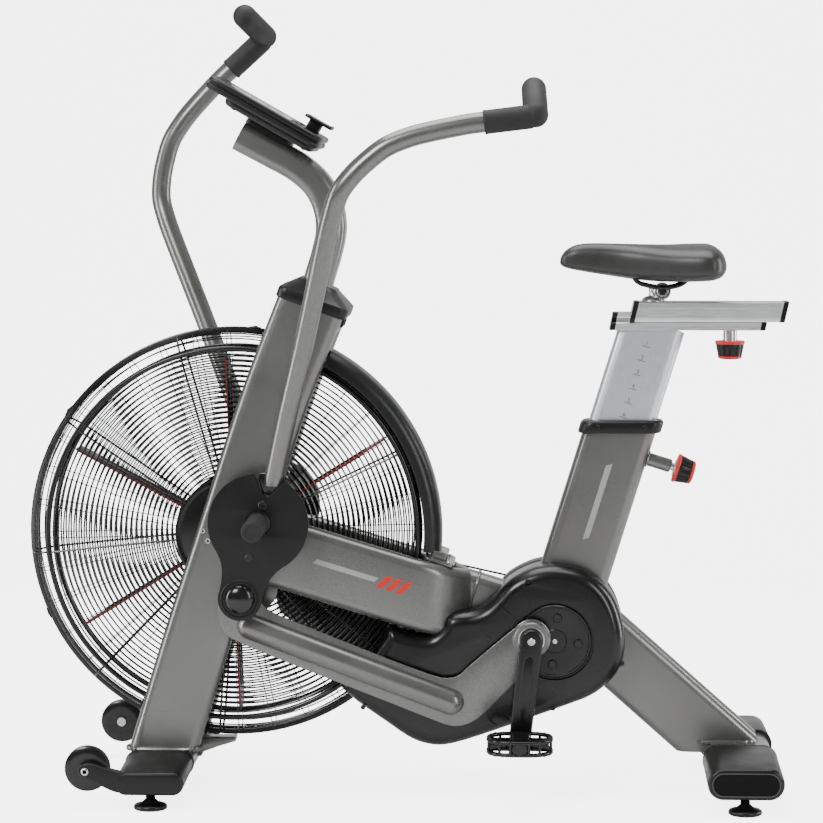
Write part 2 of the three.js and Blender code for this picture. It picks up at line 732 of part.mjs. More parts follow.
// A slab parallel to the console's face; along runs down the slope, height is square to it.
function consoleSlab(alongSize, acrossSize, h0, h1, radius, along = 0, across = 0, bevel = 0) {
  const shape = roundedRectangle(alongSize, acrossSize, radius);
  const geometry = new THREE.ExtrudeGeometry(shape, {
    depth: h1 - h0 - 2 * bevel, bevelEnabled: bevel > 0, bevelThickness: bevel,
    bevelSize: bevel, bevelOffset: -bevel, bevelSegments: 1,
  });
  geometry.translate(along, across, h0 + bevel);
  geometry.rotateY(-CONSOLE_SLOPE);
  geometry.translate(-243, 0, 1185);
  return solid(geometry);
}

const BUTTON_ALONG = 55;
const BUTTON_ACROSS = [-45, 0, 45];

function makeHousing() {
  const slab = consoleSlab(226, 200, -9, 13, 18, 0, 0, 4);
  const belly = consoleSlab(175, 170, -20, -7, 14, 17.5, 0, 4);
  const screenSeat = consoleSlab(130.6, 160.6, 9, 20, 6, -22, 0);
  const mountPad = cut(consoleSlab(90, 60, -34, -18, 6, 20, 0), consoleSolid(0.6));
  let body = cut(join(slab, belly, mountPad), screenSeat);
  for (const across of BUTTON_ACROSS) body = cut(body, buttonBar(across, 6, 20, 8.4));
  return body;
}

function buttonBar(across, h0, h1, radius) {
  return bar(consoleAt(BUTTON_ALONG, across, h0), consoleAt(BUTTON_ALONG, across, h1), radius, radius, 18);
}

function makeHolder() {
  const plate = consoleSlab(52, 70, 30, 37, 6, 86, 0);
  const neck = consoleSlab(24, 40, 13.3, 31, 4, 82, 0);
  return join(plate, neck);
}

// -------------------------------------------------------------------- seat

function makeCollar() {
  const outer = seatSolid(70, SEAT_TUBE_DEPTH + 22, 360, 420);
  const band = cut(outer, seatSolid(2 * CENTRE_HALF, SEAT_TUBE_DEPTH, 350, 430, 0.4));
  const lip = cut(outer, seatSolid(44, POST_DEPTH + 3, 350, 430));
  const low = cut(band, beyond([0, 634.3], 90 * DEG), beyond([0, 630], -90 * DEG));
  const top = cut(lip, beyond([0, 652], 90 * DEG), beyond([0, 634.3], -90 * DEG));
  return join(low, top);
}

function makePost() {
  const post = cut(seatSolid(41, POST_DEPTH, 178, 575), seatSolid(36, POST_DEPTH - 5, 170, 580));
  const bottom = beyond([0, 455], -90 * DEG);
  const above = beyond([0, 810], 90 * DEG);
  const flange = box(357, 626, -27, 27, 809.5, 823.5);
  const neck = box(359, 624, -12, 12, 823, 831);
  const head = box(359, 624, -22, 22, 830, 840);
  return join(cut(post, above, bottom), flange, neck, head);
}

function makeCarriage() {
  const outline = [[389, 824.2], [658.5, 824.2], [666, 859], [397, 859]];
  const outer = sidePlate(outline, -30, 30, 2, 1);
  const cavity = box(300, 760, -22.6, 22.6, 829.4, 840.8);
  const slot = box(300, 760, -12.6, 12.6, 820, 832);
  return cut(outer, cavity, slot);
}

function makeSaddleClamp() {
  const base = bar([431, 0, 859.4], [431, 0, 866], 20, 12);
  const post = bar([426, 0, 862], [426, 0, 886], 7);
  const ring = barY(TILT, 14.5, -17, 17, 16);
  return join(base, post, ring);
}

function saddleHalfWidth(t) {
  const rear = 0.5 + 0.5 * Math.tanh((t - 0.56) * 6.5);
  return 21 + 92 * rear;
}

function saddleTop(t) {
  return 954 + 6 * Math.cos((t - 0.35) * 5);
}

function saddleBottom(t) {
  return 920 - 26 * Math.sin(Math.PI * Math.min(1, t * 0.72));
}

function makeSaddle() {
  const form = new THREE.SphereGeometry(1, 16, 12);
  form.rotateZ(Math.PI / 2);
  const place = form.attributes.position;
  for (let i = 0; i < place.count; i += 1) {
    const sx = place.getX(i);
    const sy = place.getY(i);
    const sz = place.getZ(i);
    const t = 0.5 + 0.5 * Math.sign(sx) * Math.abs(sx) ** 0.8;
    const flat = Math.sign(sy) * Math.abs(sy) ** 0.8;
    const crown = Math.sign(sz) * Math.abs(sz) ** 0.7;
    const middle = (saddleTop(t) + saddleBottom(t)) / 2;
    const half = (saddleTop(t) - saddleBottom(t)) / 2;
    place.setXYZ(i, 268 + 290 * t, flat * saddleHalfWidth(t), middle + half * crown);
  }
  let saddle = solid(form);
  for (const y of [-24, 24]) {
    const rail = curveThrough([
      [390, y, 915], [402, y, 894], [424, y, 886], [447, y, 883.5], [470, y, 886], [486, y, 894],
      [497, y, 914],
    ]);
    saddle = saddle.add(sweep(polygonCircle(3.6, 5), rail, 7));
  }
  return saddle;
}

function makePinKnob() {
  const rod = pinBar(58.5, 114, 4.6);
  return join(rod, pinBar(112.5, 147, 25.5, 21.5));
}

function makeRailKnob() {
  const stem = bar([565.5, 0, 789], [565.5, 0, 809.2], 12);
  const grip = bar([565.5, 0, 758], [565.5, 0, 790], 21.5, 26.3);
  return join(stem, grip);
}

// --------------------------------------------------------------- assembly

const group = new THREE.Group();
group.name = 'air_bike';

function add(name, body, look) {
  const mesh = new THREE.Mesh(geometryOf(body), look());
  mesh.name = name;
  group.add(mesh);
}

function addPair(name, body, look) {
  add(`${name}_left`, body, look);
  add(`${name}_right`, mirrored(body), look);
}

// Frame
const mast = makeMast();
add('mast_left', mast, graphite);
add('mast_right', cut(mirrored(mast), beltTunnel), graphite);
add('mast_bridge', makeBridge(), graphite);
const beam = makeBeam();
add('beam_left', beam, graphite);
add('beam_right', cut(mirrored(beam), beltTunnel), graphite);
add('centre_tube', makeCentreTube(), graphite);
add('seat_tube', makeSeatTube(), graphite);
add('rear_leg', makeRearLeg(), graphite);
add('front_stabilizer', makeFrontStabilizer(), graphite);
add('rear_stabilizer', makeRearStabilizer(), graphite);
addPair('front_cap', makeFrontCap(), blackPlastic);
addPair('rear_cap', makeRearCap(), blackPlastic);
addPair('wheel', makeWheel(), darkRubber);
add('foot_front_left', makeFoot(-428, -225, 27.3), blackPlastic);
add('foot_front_right', makeFoot(-428, 225, 27.3), blackPlastic);
add('foot_rear_left', makeFoot(585, -225, 28.2), blackPlastic);
add('foot_rear_right', makeFoot(585, 225, 28.2), blackPlastic);

// Fan
add('fan_wheel', makeFanWheel(), blackPlastic);
add('fan_shaft', makeFanShaft(), steel);
addPair('fan_guard', makeGuard(), blackSteel);
add('fan_fender', makeFender(), blackPlastic);

// Drive
const casing = makeCasing();
add('casing_left', casing, blackPlastic);
add('casing_right', cut(mirrored(casing), beltTunnel), blackPlastic);
add('crank_spindle', makeSpindle(), blackSteel);
add('drive_pulley', makeDrivePulley(), brightAluminium);
add('drive_belt', makeBelt(), darkRubber);
const crankArm = makeCrankArm();
add('crank_arm_left', crankArm, blackSteel);
add('crank_arm_right', turned(mirrored(crankArm), CRANK, Math.PI), blackSteel);
const pedal = makePedal();
const otherPedal = [2 * (CRANK[0] - PEDAL[0]), 0, 2 * (CRANK[1] - PEDAL[1])];
add('pedal_left', pedal, blackSteel);
add('pedal_right', moved(mirrored(pedal), ...otherPedal), blackSteel);

// Links and arms
const link = makeLink();
const otherPin = [2 * (CRANK[0] - CRANK_PIN[0]), 0, 2 * (CRANK[1] - CRANK_PIN[1])];
add('link_left', link, graphite);
add('link_right', moved(turned(mirrored(link), CRANK_PIN, LINK_TURN), ...otherPin), graphite);
const pieces = [
  ['arm', makeArm(), graphite], ['arm_cover', makeArmCover(), blackPlastic],
  ['grip', makeGrip(), darkRubber],
];
for (const [name, body, look] of pieces) {
  add(`${name}_left`, body, look);
  add(`${name}_right`, turned(mirrored(body), PIVOT, ARM_SWING), look);
}
addPair('foot_peg', makePeg(), darkRubber);

// Top and console
add('top_cap', makeTopCap(), blackPlastic);
add('console_mast', cut(consoleSolid(0), consoleSolid(-WALL)), graphite);
add('console_housing', makeHousing(), blackPlastic);
add('console_screen', consoleSlab(130, 160, 9.3, 13, 6, -22, 0), blackPlastic);
add('device_holder', makeHolder(), blackPlastic);
BUTTON_ACROSS.forEach((across, i) => {
  add(`console_button_${i + 1}`, buttonBar(across, 8, 15, 8), blackPlastic);
});

// Seat
add('seat_collar', makeCollar(), blackPlastic);
add('seat_post', makePost(), brightAluminium);
add('seat_carriage', makeCarriage(), brightAluminium);
add('saddle_clamp', makeSaddleClamp(), steel);
add('saddle', makeSaddle(), vinyl);
add('seat_pin_knob', makePinKnob(), blackPlastic);
add('rail_knob', makeRailKnob(), blackPlastic);

export default group;
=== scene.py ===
"""The looks of the air bike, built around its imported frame.

Sizes in this script are millimetres until a mesh is made. +X is the rear, +Y the rider's right, +Z up.
Every piece is shaped on the rider's left, and its partner on the right is mirrored from it."""

import json
import math

import bmesh
import bpy
from mathutils import Matrix, Vector
from mathutils.geometry import tessellate_polygon

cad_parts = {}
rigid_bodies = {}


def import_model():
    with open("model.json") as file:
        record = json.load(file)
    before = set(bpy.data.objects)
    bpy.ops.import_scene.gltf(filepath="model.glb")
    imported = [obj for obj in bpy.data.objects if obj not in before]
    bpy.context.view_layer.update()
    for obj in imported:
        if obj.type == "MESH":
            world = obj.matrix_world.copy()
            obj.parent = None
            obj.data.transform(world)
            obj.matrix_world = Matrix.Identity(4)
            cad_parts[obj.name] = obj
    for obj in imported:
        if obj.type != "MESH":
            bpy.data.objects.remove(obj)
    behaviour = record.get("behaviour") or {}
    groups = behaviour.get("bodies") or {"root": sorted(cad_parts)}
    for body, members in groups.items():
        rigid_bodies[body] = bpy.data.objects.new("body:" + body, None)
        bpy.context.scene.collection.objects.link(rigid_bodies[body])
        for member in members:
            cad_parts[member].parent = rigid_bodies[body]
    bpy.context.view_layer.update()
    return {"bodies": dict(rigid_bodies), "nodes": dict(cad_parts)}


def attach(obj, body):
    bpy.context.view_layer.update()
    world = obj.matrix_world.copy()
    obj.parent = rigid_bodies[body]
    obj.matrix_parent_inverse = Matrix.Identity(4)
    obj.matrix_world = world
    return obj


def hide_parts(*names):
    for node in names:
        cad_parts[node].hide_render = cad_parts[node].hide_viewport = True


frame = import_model()

MM = 0.001
DEG = math.pi / 180
TIP = 0.01  # radius that stands for a point on an axis

# ---- main centres, as (x, z) in the side view ----
FAN = (-304, 450.5)
PIVOT = (-250, 481)
LEVER_END = (-282, 350)
CRANK = (262, 271)
CRANK_PIN = (221.4, 279)
PEDAL = (202.5, 112)
WHEEL = (-537, 68)
TILT = (447, 877)

# ---- sizes shared with the frame ----
TUBE_HEIGHT = 118
BEAM_HEIGHT = 122
SEAT_TUBE_DEPTH = 123
POST_DEPTH = 113.5
CAP_DROOP = 7
BEAM_SLOPE = -16.9 * DEG
BEAM_ALONG = Vector((math.cos(BEAM_SLOPE), 0, math.sin(BEAM_SLOPE)))
BEAM_UP = Vector((-BEAM_ALONG.z, 0, BEAM_ALONG.x))
SEAT_LEAN = 17.2 * DEG
SEAT_UP = Vector((math.sin(SEAT_LEAN), 0, math.cos(SEAT_LEAN)))
SEAT_BACK = Vector((math.cos(SEAT_LEAN), 0, -math.sin(SEAT_LEAN)))
LEG_SLOPE = -41.5 * DEG
CONSOLE_SLOPE = -29.7 * DEG
ARM_SWING = -35.5 * DEG
LINK_TURN = 2.5 * DEG
GUARD_RADIUS = 362
CAP_END = 250

# ------------------------------------------------------------------ outlines


def curve_through(points, steps=8, closed=False):
    """Points along a smooth curve through the given points."""
    pts = [Vector(p) for p in points]
    count = len(pts)
    out = []
    for i in range(count if closed else count - 1):
        p1 = pts[i]
        p2 = pts[(i + 1) % count]
        p0 = pts[i - 1] if closed or i > 0 else p1 * 2 - p2
        p3 = pts[(i + 2) % count] if closed or i < count - 2 else p2 * 2 - p1
        t1 = max((p1 - p0).length, 1e-3) ** 0.5
        t2 = t1 + max((p2 - p1).length, 1e-3) ** 0.5
        t3 = t2 + max((p3 - p2).length, 1e-3) ** 0.5
        for k in range(steps):
            t = t1 + (t2 - t1) * k / steps
            a1 = p0 * ((t1 - t) / t1) + p1 * (t / t1)
            a2 = p1 * ((t2 - t) / (t2 - t1)) + p2 * ((t - t1) / (t2 - t1))
            a3 = p2 * ((t3 - t) / (t3 - t2)) + p3 * ((t - t2) / (t3 - t2))
            b1 = a1 * ((t2 - t) / t2) + a2 * (t / t2)
            b2 = a2 * ((t3 - t) / (t3 - t1)) + a3 * ((t - t1) / (t3 - t1))
            out.append(b1 * ((t2 - t) / (t2 - t1)) + b2 * ((t - t1) / (t2 - t1)))
    if not closed:
        out.append(pts[-1])
    return out


def soften(outline, times=2):
    """A closed outline with its corners cut back again and again until they are round."""
    points = [tuple(p) for p in outline]
    for _ in range(times):
        out = []
        for i, (ax, ay) in enumerate(points):
            bx, by = points[(i + 1) % len(points)]
            out.append((ax * 0.75 + bx * 0.25, ay * 0.75 + by * 0.25))
            out.append((ax * 0.25 + bx * 0.75, ay * 0.25 + by * 0.75))
        points = out
    return points


def rounded(width, height, radius, steps=6):
    out = []
    for sx, sy, start in ((1, 1, 0), (-1, 1, 90), (-1, -1, 180), (1, -1, 270)):
        for i in range(steps + 1):
            angle = (start + 90 * i / steps) * DEG
            x = sx * (width / 2 - radius) + radius * math.cos(angle)
            y = sy * (height / 2 - radius) + radius * math.sin(angle)
            out.append((x, y))
    return out


def circle(centre, radius, sides=48):
    cx, cy = centre
    turn = 2 * math.pi / sides
    return [(cx + radius * math.cos(i * turn), cy + radius * math.sin(i * turn)) for i in range(sides)]


def arc(centre, radius, start, end, steps):
    cx, cy = centre
    out = []
    for i in range(steps + 1):
        angle = (start + (end - start) * i / steps) * DEG
        out.append((cx + radius * math.cos(angle), cy + radius * math.sin(angle)))
    return out


def shifted(outline, x, y=0):
    return [(x + u, y + v) for u, v in outline]


def turned(outline, centre, angle):
    """The outline turned by angle and carried to centre."""
    x, y = centre
    c, s = math.cos(angle), math.sin(angle)
    return [(x + u * c - v * s, y + u * s + v * c) for u, v in outline]


def dome(width, rise, base, steps=8):
    """A lathe profile over a dome, from its rim to its middle."""
    out = []
    for k in range(steps + 1):
        angle = 90 * k / steps * DEG
        out.append((max(width * math.cos(angle), TIP), base + rise * math.sin(angle)))
    return out


def signed_area(outline):
    total = 0
    for i, (ax, ay) in enumerate(outline):
        bx, by = outline[(i + 1) % len(outline)]
        total += ax * by - bx * ay
    return total / 2


def inset(outline, distance):
    """The outline moved to its left by distance, keeping its number of points."""
    out = []
    count = len(outline)
    for i, (x, y) in enumerate(outline):
        ax, ay = outline[i - 1]
        bx, by = outline[(i + 1) % count]
        before = Vector((x - ax, y - ay)).normalized()
        after = Vector((bx - x, by - y)).normalized()
        along = (before + after).normalized()
        reach = distance / max(0.6, along.dot(after))
        out.append((x - along.y * reach, y + along.x * reach))
    return out


# ------------------------------------------------------------------- shapes

SIDE = Matrix(((1, 0, 0, 0), (0, 0, 1, 0), (0, 1, 0, 0), (0, 0, 0, 1)))


def axes(origin, u, v, h):
    """A placement whose first, second and third directions are u, v and h."""
    place = Matrix((Vector(u).normalized(), Vector(v).normalized(), Vector(h).normalized())).transposed()
    return Matrix.Translation(Vector(origin)) @ place.to_4x4()


def outward(spot, y=0):
    """A placement at a side view point, whose third direction is the rider's left."""
    return axes((spot[0], y, spot[1]), (1, 0, 0), (0, 0, 1), (0, -1, 0))


def facing(origin, direction):
    """A placement whose third direction points along direction."""
    turn = Vector((0, 0, 1)).rotation_difference(Vector(direction))
    return Matrix.Translation(Vector(origin)) @ turn.to_matrix().to_4x4()


class Shape:
    """Points and faces gathered from several forms, for one mesh."""

    def __init__(self):
        self.points = []
        self.faces = []
        self.looks = []
        self.look = 0

    def use(self, look):
        self.look = look
        return self

    def add(self, points, faces):
        base = len(self.points)
        self.points += [Vector(p) for p in points]
        self.faces += [[base + i for i in f] for f in faces]
        self.looks += [self.look] * len(faces)
        return self

    def rings(self, rings, loop=False, caps=True):
        count = len(rings[0])
        points = [p for ring in rings for p in ring]
        faces = []
        for r in range(len(rings) if loop else len(rings) - 1):
            a = r * count
            b = ((r + 1) % len(rings)) * count
            for i in range(count):
                j = (i + 1) % count
                faces.append([a + i, a + j, b + j, b + i])
        if caps and not loop:
            faces.append(list(range(count))[::-1])
            faces.append([(len(rings) - 1) * count + i for i in range(count)])
        return self.add(points, faces)

    def sweep(self, section, path, side="level", loop=False):
        """A section carried along a path. Its first size lies along Y, or level and square to the path."""
        path = [Vector(p) for p in path]
        count = len(path)
        rings = []
        for i, p in enumerate(path):
            before = path[i - 1] if loop or i else p
            after = path[(i + 1) % count] if loop or i < count - 1 else p
            along = (after - before).normalized()
            if side == "y":
                across = Vector((0, 1, 0)) - along * along.y
            else:
                across = Vector((0, 0, 1)).cross(along)
            across.normalize()
            up = along.cross(across)
            rings.append([p + across * u + up * v for u, v in section])
        return self.rings(rings, loop)

    def tube(self, path, radius, sides=12, loop=False):
        return self.sweep(circle((0, 0), radius, sides), path, "y", loop)

    def lathe(self, place, profile, sides=64, flutes=0, depth=0):
        """A profile of (radius, height) turned about the third direction of place. It may close on itself."""
        rings = []
        for radius, height, *cutting in profile:
            ring = []
            for i in range(sides):
                angle = 2 * math.pi * i / sides
                r = radius
                if flutes and not cutting:
                    r -= depth * max(0, math.cos(flutes * angle)) ** 1.5
                ring.append(place @ Vector((r * math.cos(angle), r * math.sin(angle), height)))
            rings.append(ring)
        if profile[0] == profile[-1]:
            return self.rings(rings[:-1], loop=True)
        return self.rings(rings)

    def slab(self, outline, h0, h1, edge=1.0, holes=(), place=SIDE, steps=4, edge0=None):
        """A plate with rounded rims. Its outline lies in the first two directions of place."""
        loops = [list(outline)] + [list(h) for h in holes]
        for i, loop in enumerate(loops):
            if (signed_area(loop) > 0) != (i == 0):
                loop.reverse()
        low = edge if edge0 is None else edge0
        rims = []
        for k in range(steps + 1):
            angle = 90 * DEG * k / steps
            rims.append((low * (1 - math.sin(angle)), h0 + low * (1 - math.cos(angle))))
        for k in range(steps + 1):
            angle = 90 * DEG * k / steps
            rims.append((edge * (1 - math.cos(angle)), h1 - edge * (1 - math.sin(angle))))
        for loop in loops:
            rings = []
            for distance, height in rims:
                rings.append([place @ Vector((x, y, height)) for x, y in inset(loop, distance)])
            self.rings(rings, caps=False)
        for distance, height in (rims[0], rims[-1]):
            flat = [[Vector((x, y, height)) for x, y in inset(loop, distance)] for loop in loops]
            if len(loops) == 1:
                self.add([place @ p for p in flat[0]], [list(range(len(flat[0])))])
            else:
                points = [place @ p for loop in flat for p in loop]
                self.add(points, [list(t) for t in tessellate_polygon(flat)])
        return self

    def ball(self, centre, radius, sides):
        rings = []
        for k in range(sides // 2 + 1):
            angle = math.pi * k / (sides // 2)
            rings.append((max(radius * math.sin(angle), 0.001), -radius * math.cos(angle)))
        return self.lathe(Matrix.Translation(centre), rings, sides)

    def keep(self, point, normal):
        """Cuts away what lies beyond a plane, and closes the cut."""
        mesh = bmesh.new()
        made = [mesh.verts.new(p) for p in self.points]
        index = mesh.faces.layers.int.new("look")
        for face, look in zip(self.faces, self.looks):
            mesh.faces.new([made[i] for i in face])[index] = look
        bmesh.ops.remove_doubles(mesh, verts=mesh.verts, dist=1e-3)
        everything = mesh.verts[:] + mesh.edges[:] + mesh.faces[:]
        cut = bmesh.ops.bisect_plane(
            mesh, geom=everything, plane_co=Vector(point), plane_no=Vector(normal), clear_outer=True
        )
        rim = [e for e in cut["geom_cut"] if isinstance(e, bmesh.types.BMEdge)]
        bmesh.ops.edgeloop_fill(mesh, edges=rim)
        mesh.verts.index_update()
        self.points = [v.co.copy() for v in mesh.verts]
        self.faces = [[v.index for v in f.verts] for f in mesh.faces]
        self.looks = [f[index] for f in mesh.faces]
        mesh.free()
        return self

    def moved(self, matrix):
        out = Shape()
        flip = matrix.determinant() < 0
        out.points = [matrix @ p for p in self.points]
        out.faces = [f[::-1] if flip else list(f) for f in self.faces]
        out.looks = list(self.looks)
        return out

    def join(self, other):
        base = len(self.points)
        self.points += other.points
        self.faces += [[base + i for i in f] for f in other.faces]
        self.looks += other.looks
        return self


MIRROR = Matrix.Diagonal((1, -1, 1, 1))


def turn_about(centre, angle):
    x, z = centre
    to = Matrix.Translation((x, 0, z))
    return to @ Matrix.Rotation(angle, 4, "Y") @ to.inverted()


RIGHT_ARM = turn_about(PIVOT, ARM_SWING) @ MIRROR
RIGHT_CRANK = turn_about(CRANK, math.pi) @ MIRROR
PIN_STEP = Matrix.Translation((2 * (CRANK[0] - CRANK_PIN[0]), 0, 2 * (CRANK[1] - CRANK_PIN[1])))
RIGHT_LINK = PIN_STEP @ turn_about(CRANK_PIN, LINK_TURN) @ MIRROR
PEDAL_STEP = Matrix.Translation((2 * (CRANK[0] - PEDAL[0]), 0, 2 * (CRANK[1] - PEDAL[1])))
RIGHT_PEDAL = PEDAL_STEP @ MIRROR


def piece(name, shape, looks, body="frame", slot=None, sharp=38, node=None):
    """Makes the mesh, and hangs it on its body in the place of the frame's node of the same name."""
    looks = looks if isinstance(looks, list) else [looks]
    mesh = bpy.data.meshes.new(name)
    mesh.from_pydata([p * MM for p in shape.points], [], shape.faces)
    for polygon, look in zip(mesh.polygons, shape.looks):
        polygon.material_index = look
    edit = bmesh.new()
    edit.from_mesh(mesh)
    bmesh.ops.remove_doubles(edit, verts=edit.verts, dist=2e-6)
    bmesh.ops.dissolve_degenerate(edit, edges=edit.edges, dist=1e-7)
    bmesh.ops.recalc_face_normals(edit, faces=edit.faces)
    edit.to_mesh(mesh)
    edit.free()
    mesh.shade_smooth()
    mesh.set_sharp_from_angle(angle=sharp * DEG)
    for look in looks:
        mesh.materials.append(look)
    obj = bpy.data.objects.new(name, mesh)
    bpy.context.scene.collection.objects.link(obj)
    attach(obj, body)
    if node or name in frame["nodes"]:
        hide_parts(node or name)
    slot = SLOTS[looks[0].name] if slot is None else slot
    return obj


def pair(name, shape, looks, body="frame", right=MIRROR, slot=None, sharp=38):
    """The piece on the left and its partner on the right. A body named frame carries both."""
    for side, own in (("left", shape), ("right", shape.moved(right))):
        carried = body if body in frame["bodies"] else f"{body}_{side}"
        piece(f"{name}_{side}", own, looks, carried, slot, sharp)


# ---------------------------------------------------------------- materials


def add_node(tree, kind, **values):
    made = tree.nodes.new("ShaderNode" + kind)
    for name, value in values.items():
        made.inputs[name.replace("_", " ")].default_value = value
    return made


def new_look(name, colour, rough, metal=0.0, coat=0.0, shine=0.5):
    look = bpy.data.materials.new(name)
    look.use_nodes = True
    shader = look.node_tree.nodes["Principled BSDF"]
    values = {
        "Base Color": (*colour, 1), "Roughness": rough, "Metallic": metal, "Specular IOR Level": shine,
        "Coat Weight": coat, "Coat Roughness": 0.12,
    }
    for socket, value in values.items():
        shader.inputs[socket].default_value = value
    return look, look.node_tree, shader


def noise(tree, scale, detail, stretch=(1, 1, 1)):
    place = add_node(tree, "TexCoord")
    mapping = add_node(tree, "Mapping", Scale=stretch)
    texture = add_node(tree, "TexNoise", Scale=scale, Detail=detail)
    tree.links.new(place.outputs["Object"], mapping.inputs["Vector"])
    tree.links.new(mapping.outputs["Vector"], texture.inputs["Vector"])
    return texture


def vary(tree, source, low, high, socket, start=0.35, end=0.65):
    """Lets a socket range from low to high with the source."""
    spread = add_node(tree, "MapRange", From_Min=start, From_Max=end, To_Min=low, To_Max=high)
    tree.links.new(source.outputs[0], spread.inputs["Value"])
    tree.links.new(spread.outputs["Result"], socket)


def tint(tree, source, dark, light, shader):
    ramp = add_node(tree, "ValToRGB")
    for element, position, colour in zip(ramp.color_ramp.elements, (0.3, 0.7), (dark, light)):
        element.position = position
        element.color = (*colour, 1)
    tree.links.new(source.outputs[0], ramp.inputs["Fac"])
    tree.links.new(ramp.outputs["Color"], shader.inputs["Base Color"])


def bump(tree, source, shader, strength, distance):
    relief = add_node(tree, "Bump", Strength=strength, Distance=distance)
    tree.links.new(source.outputs[0], relief.inputs["Height"])
    tree.links.new(relief.outputs["Normal"], shader.inputs["Normal"])


def flake_paint(name, dark, light, rough):
    look, tree, shader = new_look(name, light, rough, 0.72, 0.35)
    tint(tree, noise(tree, 1400, 1), dark, light, shader)
    vary(tree, noise(tree, 9, 3), rough - 0.04, rough + 0.05, shader.inputs["Roughness"])
    return look


def moulded(name, colour, rough, grain=900, strength=0.25, coat=0.0, shine=0.36):
    look, tree, shader = new_look(name, colour, rough, 0.0, coat, shine)
    bump(tree, noise(tree, grain, 3), shader, strength, 0.0003)
    vary(tree, noise(tree, 14, 3), rough - 0.05, rough + 0.06, shader.inputs["Roughness"])
    return look


def brushed(name, dark, light, rough, stretch=(1, 60, 60)):
    look, tree, shader = new_look(name, light, rough, 0.9)
    lines = noise(tree, 30, 3, stretch)
    tint(tree, lines, dark, light, shader)
    vary(tree, lines, rough - 0.06, rough + 0.08, shader.inputs["Roughness"])
    return look


def hide_grain(name, dark, light, rough):
    """Soft vinyl with a fine leather grain."""
    look, tree, shader = new_look(name, light, rough)
    cells = add_node(tree, "TexVoronoi", Scale=520)
    place = add_node(tree, "TexCoord")
    tree.links.new(place.outputs["Object"], cells.inputs["Vector"])
    bump(tree, cells, shader, 0.35, 0.0004)
    tint(tree, noise(tree, 22, 4), dark, light, shader)
    return look


graphite = flake_paint("graphite_paint", (0.1, 0.1, 0.096), (0.215, 0.214, 0.205), 0.31)
black = moulded("black_plastic", (0.0035, 0.0036, 0.0038), 0.36)
gloss_black = moulded("gloss_black_plastic", (0.006, 0.006, 0.0065), 0.16, 500, 0.03, 0.3)
panel_black = moulded("panel_black", (0.0035, 0.0036, 0.004), 0.6, 700, 0.1, 0.0, 0.12)
fender_grey = moulded("grey_plastic", (0.009, 0.0093, 0.0096), 0.34)
casing_black = moulded("casing_plastic", (0.003, 0.0031, 0.0033), 0.28, 900, 0.12, 0.15)
stripe_grey = moulded("stripe_grey", (0.3, 0.3, 0.295), 0.4, 600, 0.05)
# Light grey for the printed scale on the seat post; on the ring round each rear cap's end panel it is a painted
# highlight.
print_and_highlight_grey = moulded("print_and_highlight_grey", (0.05, 0.053, 0.056), 0.5, 600, 0.05)
wire_black = moulded("wire_enamel", (0.0025, 0.0027, 0.003), 0.24, 300, 0.05, 0.2)
crank_black = moulded("crank_enamel", (0.003, 0.003, 0.0033), 0.28, 400, 0.1, 0.2)
screen_black = moulded("screen_glass", (0.006, 0.007, 0.009), 0.08, 200, 0.0, 0.6)
rubber = moulded("grip_rubber", (0.013, 0.013, 0.013), 0.62, 700, 0.5)
tyre = moulded("wheel_tread", (0.004, 0.004, 0.0045), 0.24, 500, 0.12, 0.3)
red = moulded("red_plastic", (0.6, 0.015, 0.01), 0.38, 600, 0.1)
aluminium = brushed("satin_aluminium", (0.66, 0.67, 0.68), (0.82, 0.83, 0.84), 0.34)
post_grey = brushed("post_aluminium", (0.6, 0.64, 0.675), (0.73, 0.77, 0.8), 0.36, (60, 60, 2))
steel = brushed("bright_steel", (0.5, 0.5, 0.51), (0.72, 0.72, 0.73), 0.24, (8, 8, 8))
dark_steel = brushed("dark_steel", (0.03, 0.03, 0.032), (0.06, 0.06, 0.063), 0.34, (8, 8, 8))
vinyl = hide_grain("saddle_vinyl", (0.014, 0.014, 0.0135), (0.022, 0.022, 0.021), 0.38)

SLOTS = {look.name: slot for slot, looks in (
    ("graphite", (graphite, stripe_grey)),
    ("black_plastic", (black, gloss_black, fender_grey, casing_black)),
    ("black_steel", (wire_black, crank_black, dark_steel)),
    ("steel", (steel,)),
    ("rubber", (rubber,)),
    ("vinyl", (vinyl,)),
    ("aluminium", (aluminium, post_grey)),
    ("screen", (screen_black,)),
) for look in looks}

# -------------------------------------------------------------- frame tubes

MAST = [
    (-430, -70, 53), (-414, -70, 105), (-362.5, -70, 273), (-289, -70, 499),
    (-226, -70, 691), (-164, -70, 852), (-157, -70, 870),
]
TUBE = rounded(40, TUBE_HEIGHT, 18, 8)
BEAM_TUBE = rounded(40, BEAM_HEIGHT, 18, 8)
CENTRE_TUBE = rounded(50, BEAM_HEIGHT, 19, 8)
LEG_TUBE = rounded(50, TUBE_HEIGHT, 19, 8)
SEAT_TUBE = rounded(50, SEAT_TUBE_DEPTH, 19, 8)


def beam_height(x):
    return 350 + (x - 19) * math.tan(BEAM_SLOPE)


def along_seat(distance):
    return Vector((CRANK[0] + distance * math.sin(SEAT_LEAN), 0, CRANK[1] + distance * math.cos(SEAT_LEAN)))


def pin_point(distance):
    """A point on the seat pin's axis, at a distance behind the middle of the seat tube."""
    return along_seat((600.5 - CRANK[1]) / math.cos(SEAT_LEAN)) + SEAT_BACK * distance


def bead(path, radius=2.4, every=3.2):
    """A weld bead along a closed path: a thin cord of overlapping drops."""
    spots = curve_through(path, 3, closed=True)
    rings = []
    for i, p in enumerate(spots):
        along = (spots[(i + 1) % len(spots)] - spots[i - 1]).normalized()
        across = along.orthogonal().normalized()
        up = along.cross(across)
        swell = radius * (1 + 0.22 * math.sin(i * math.pi / every * 2))
        rings.append([p + across * (swell * u) + up * (swell * v) for u, v in circle((0, 0), 1, 8)])
    return Shape().rings(untwist(rings), loop=True)


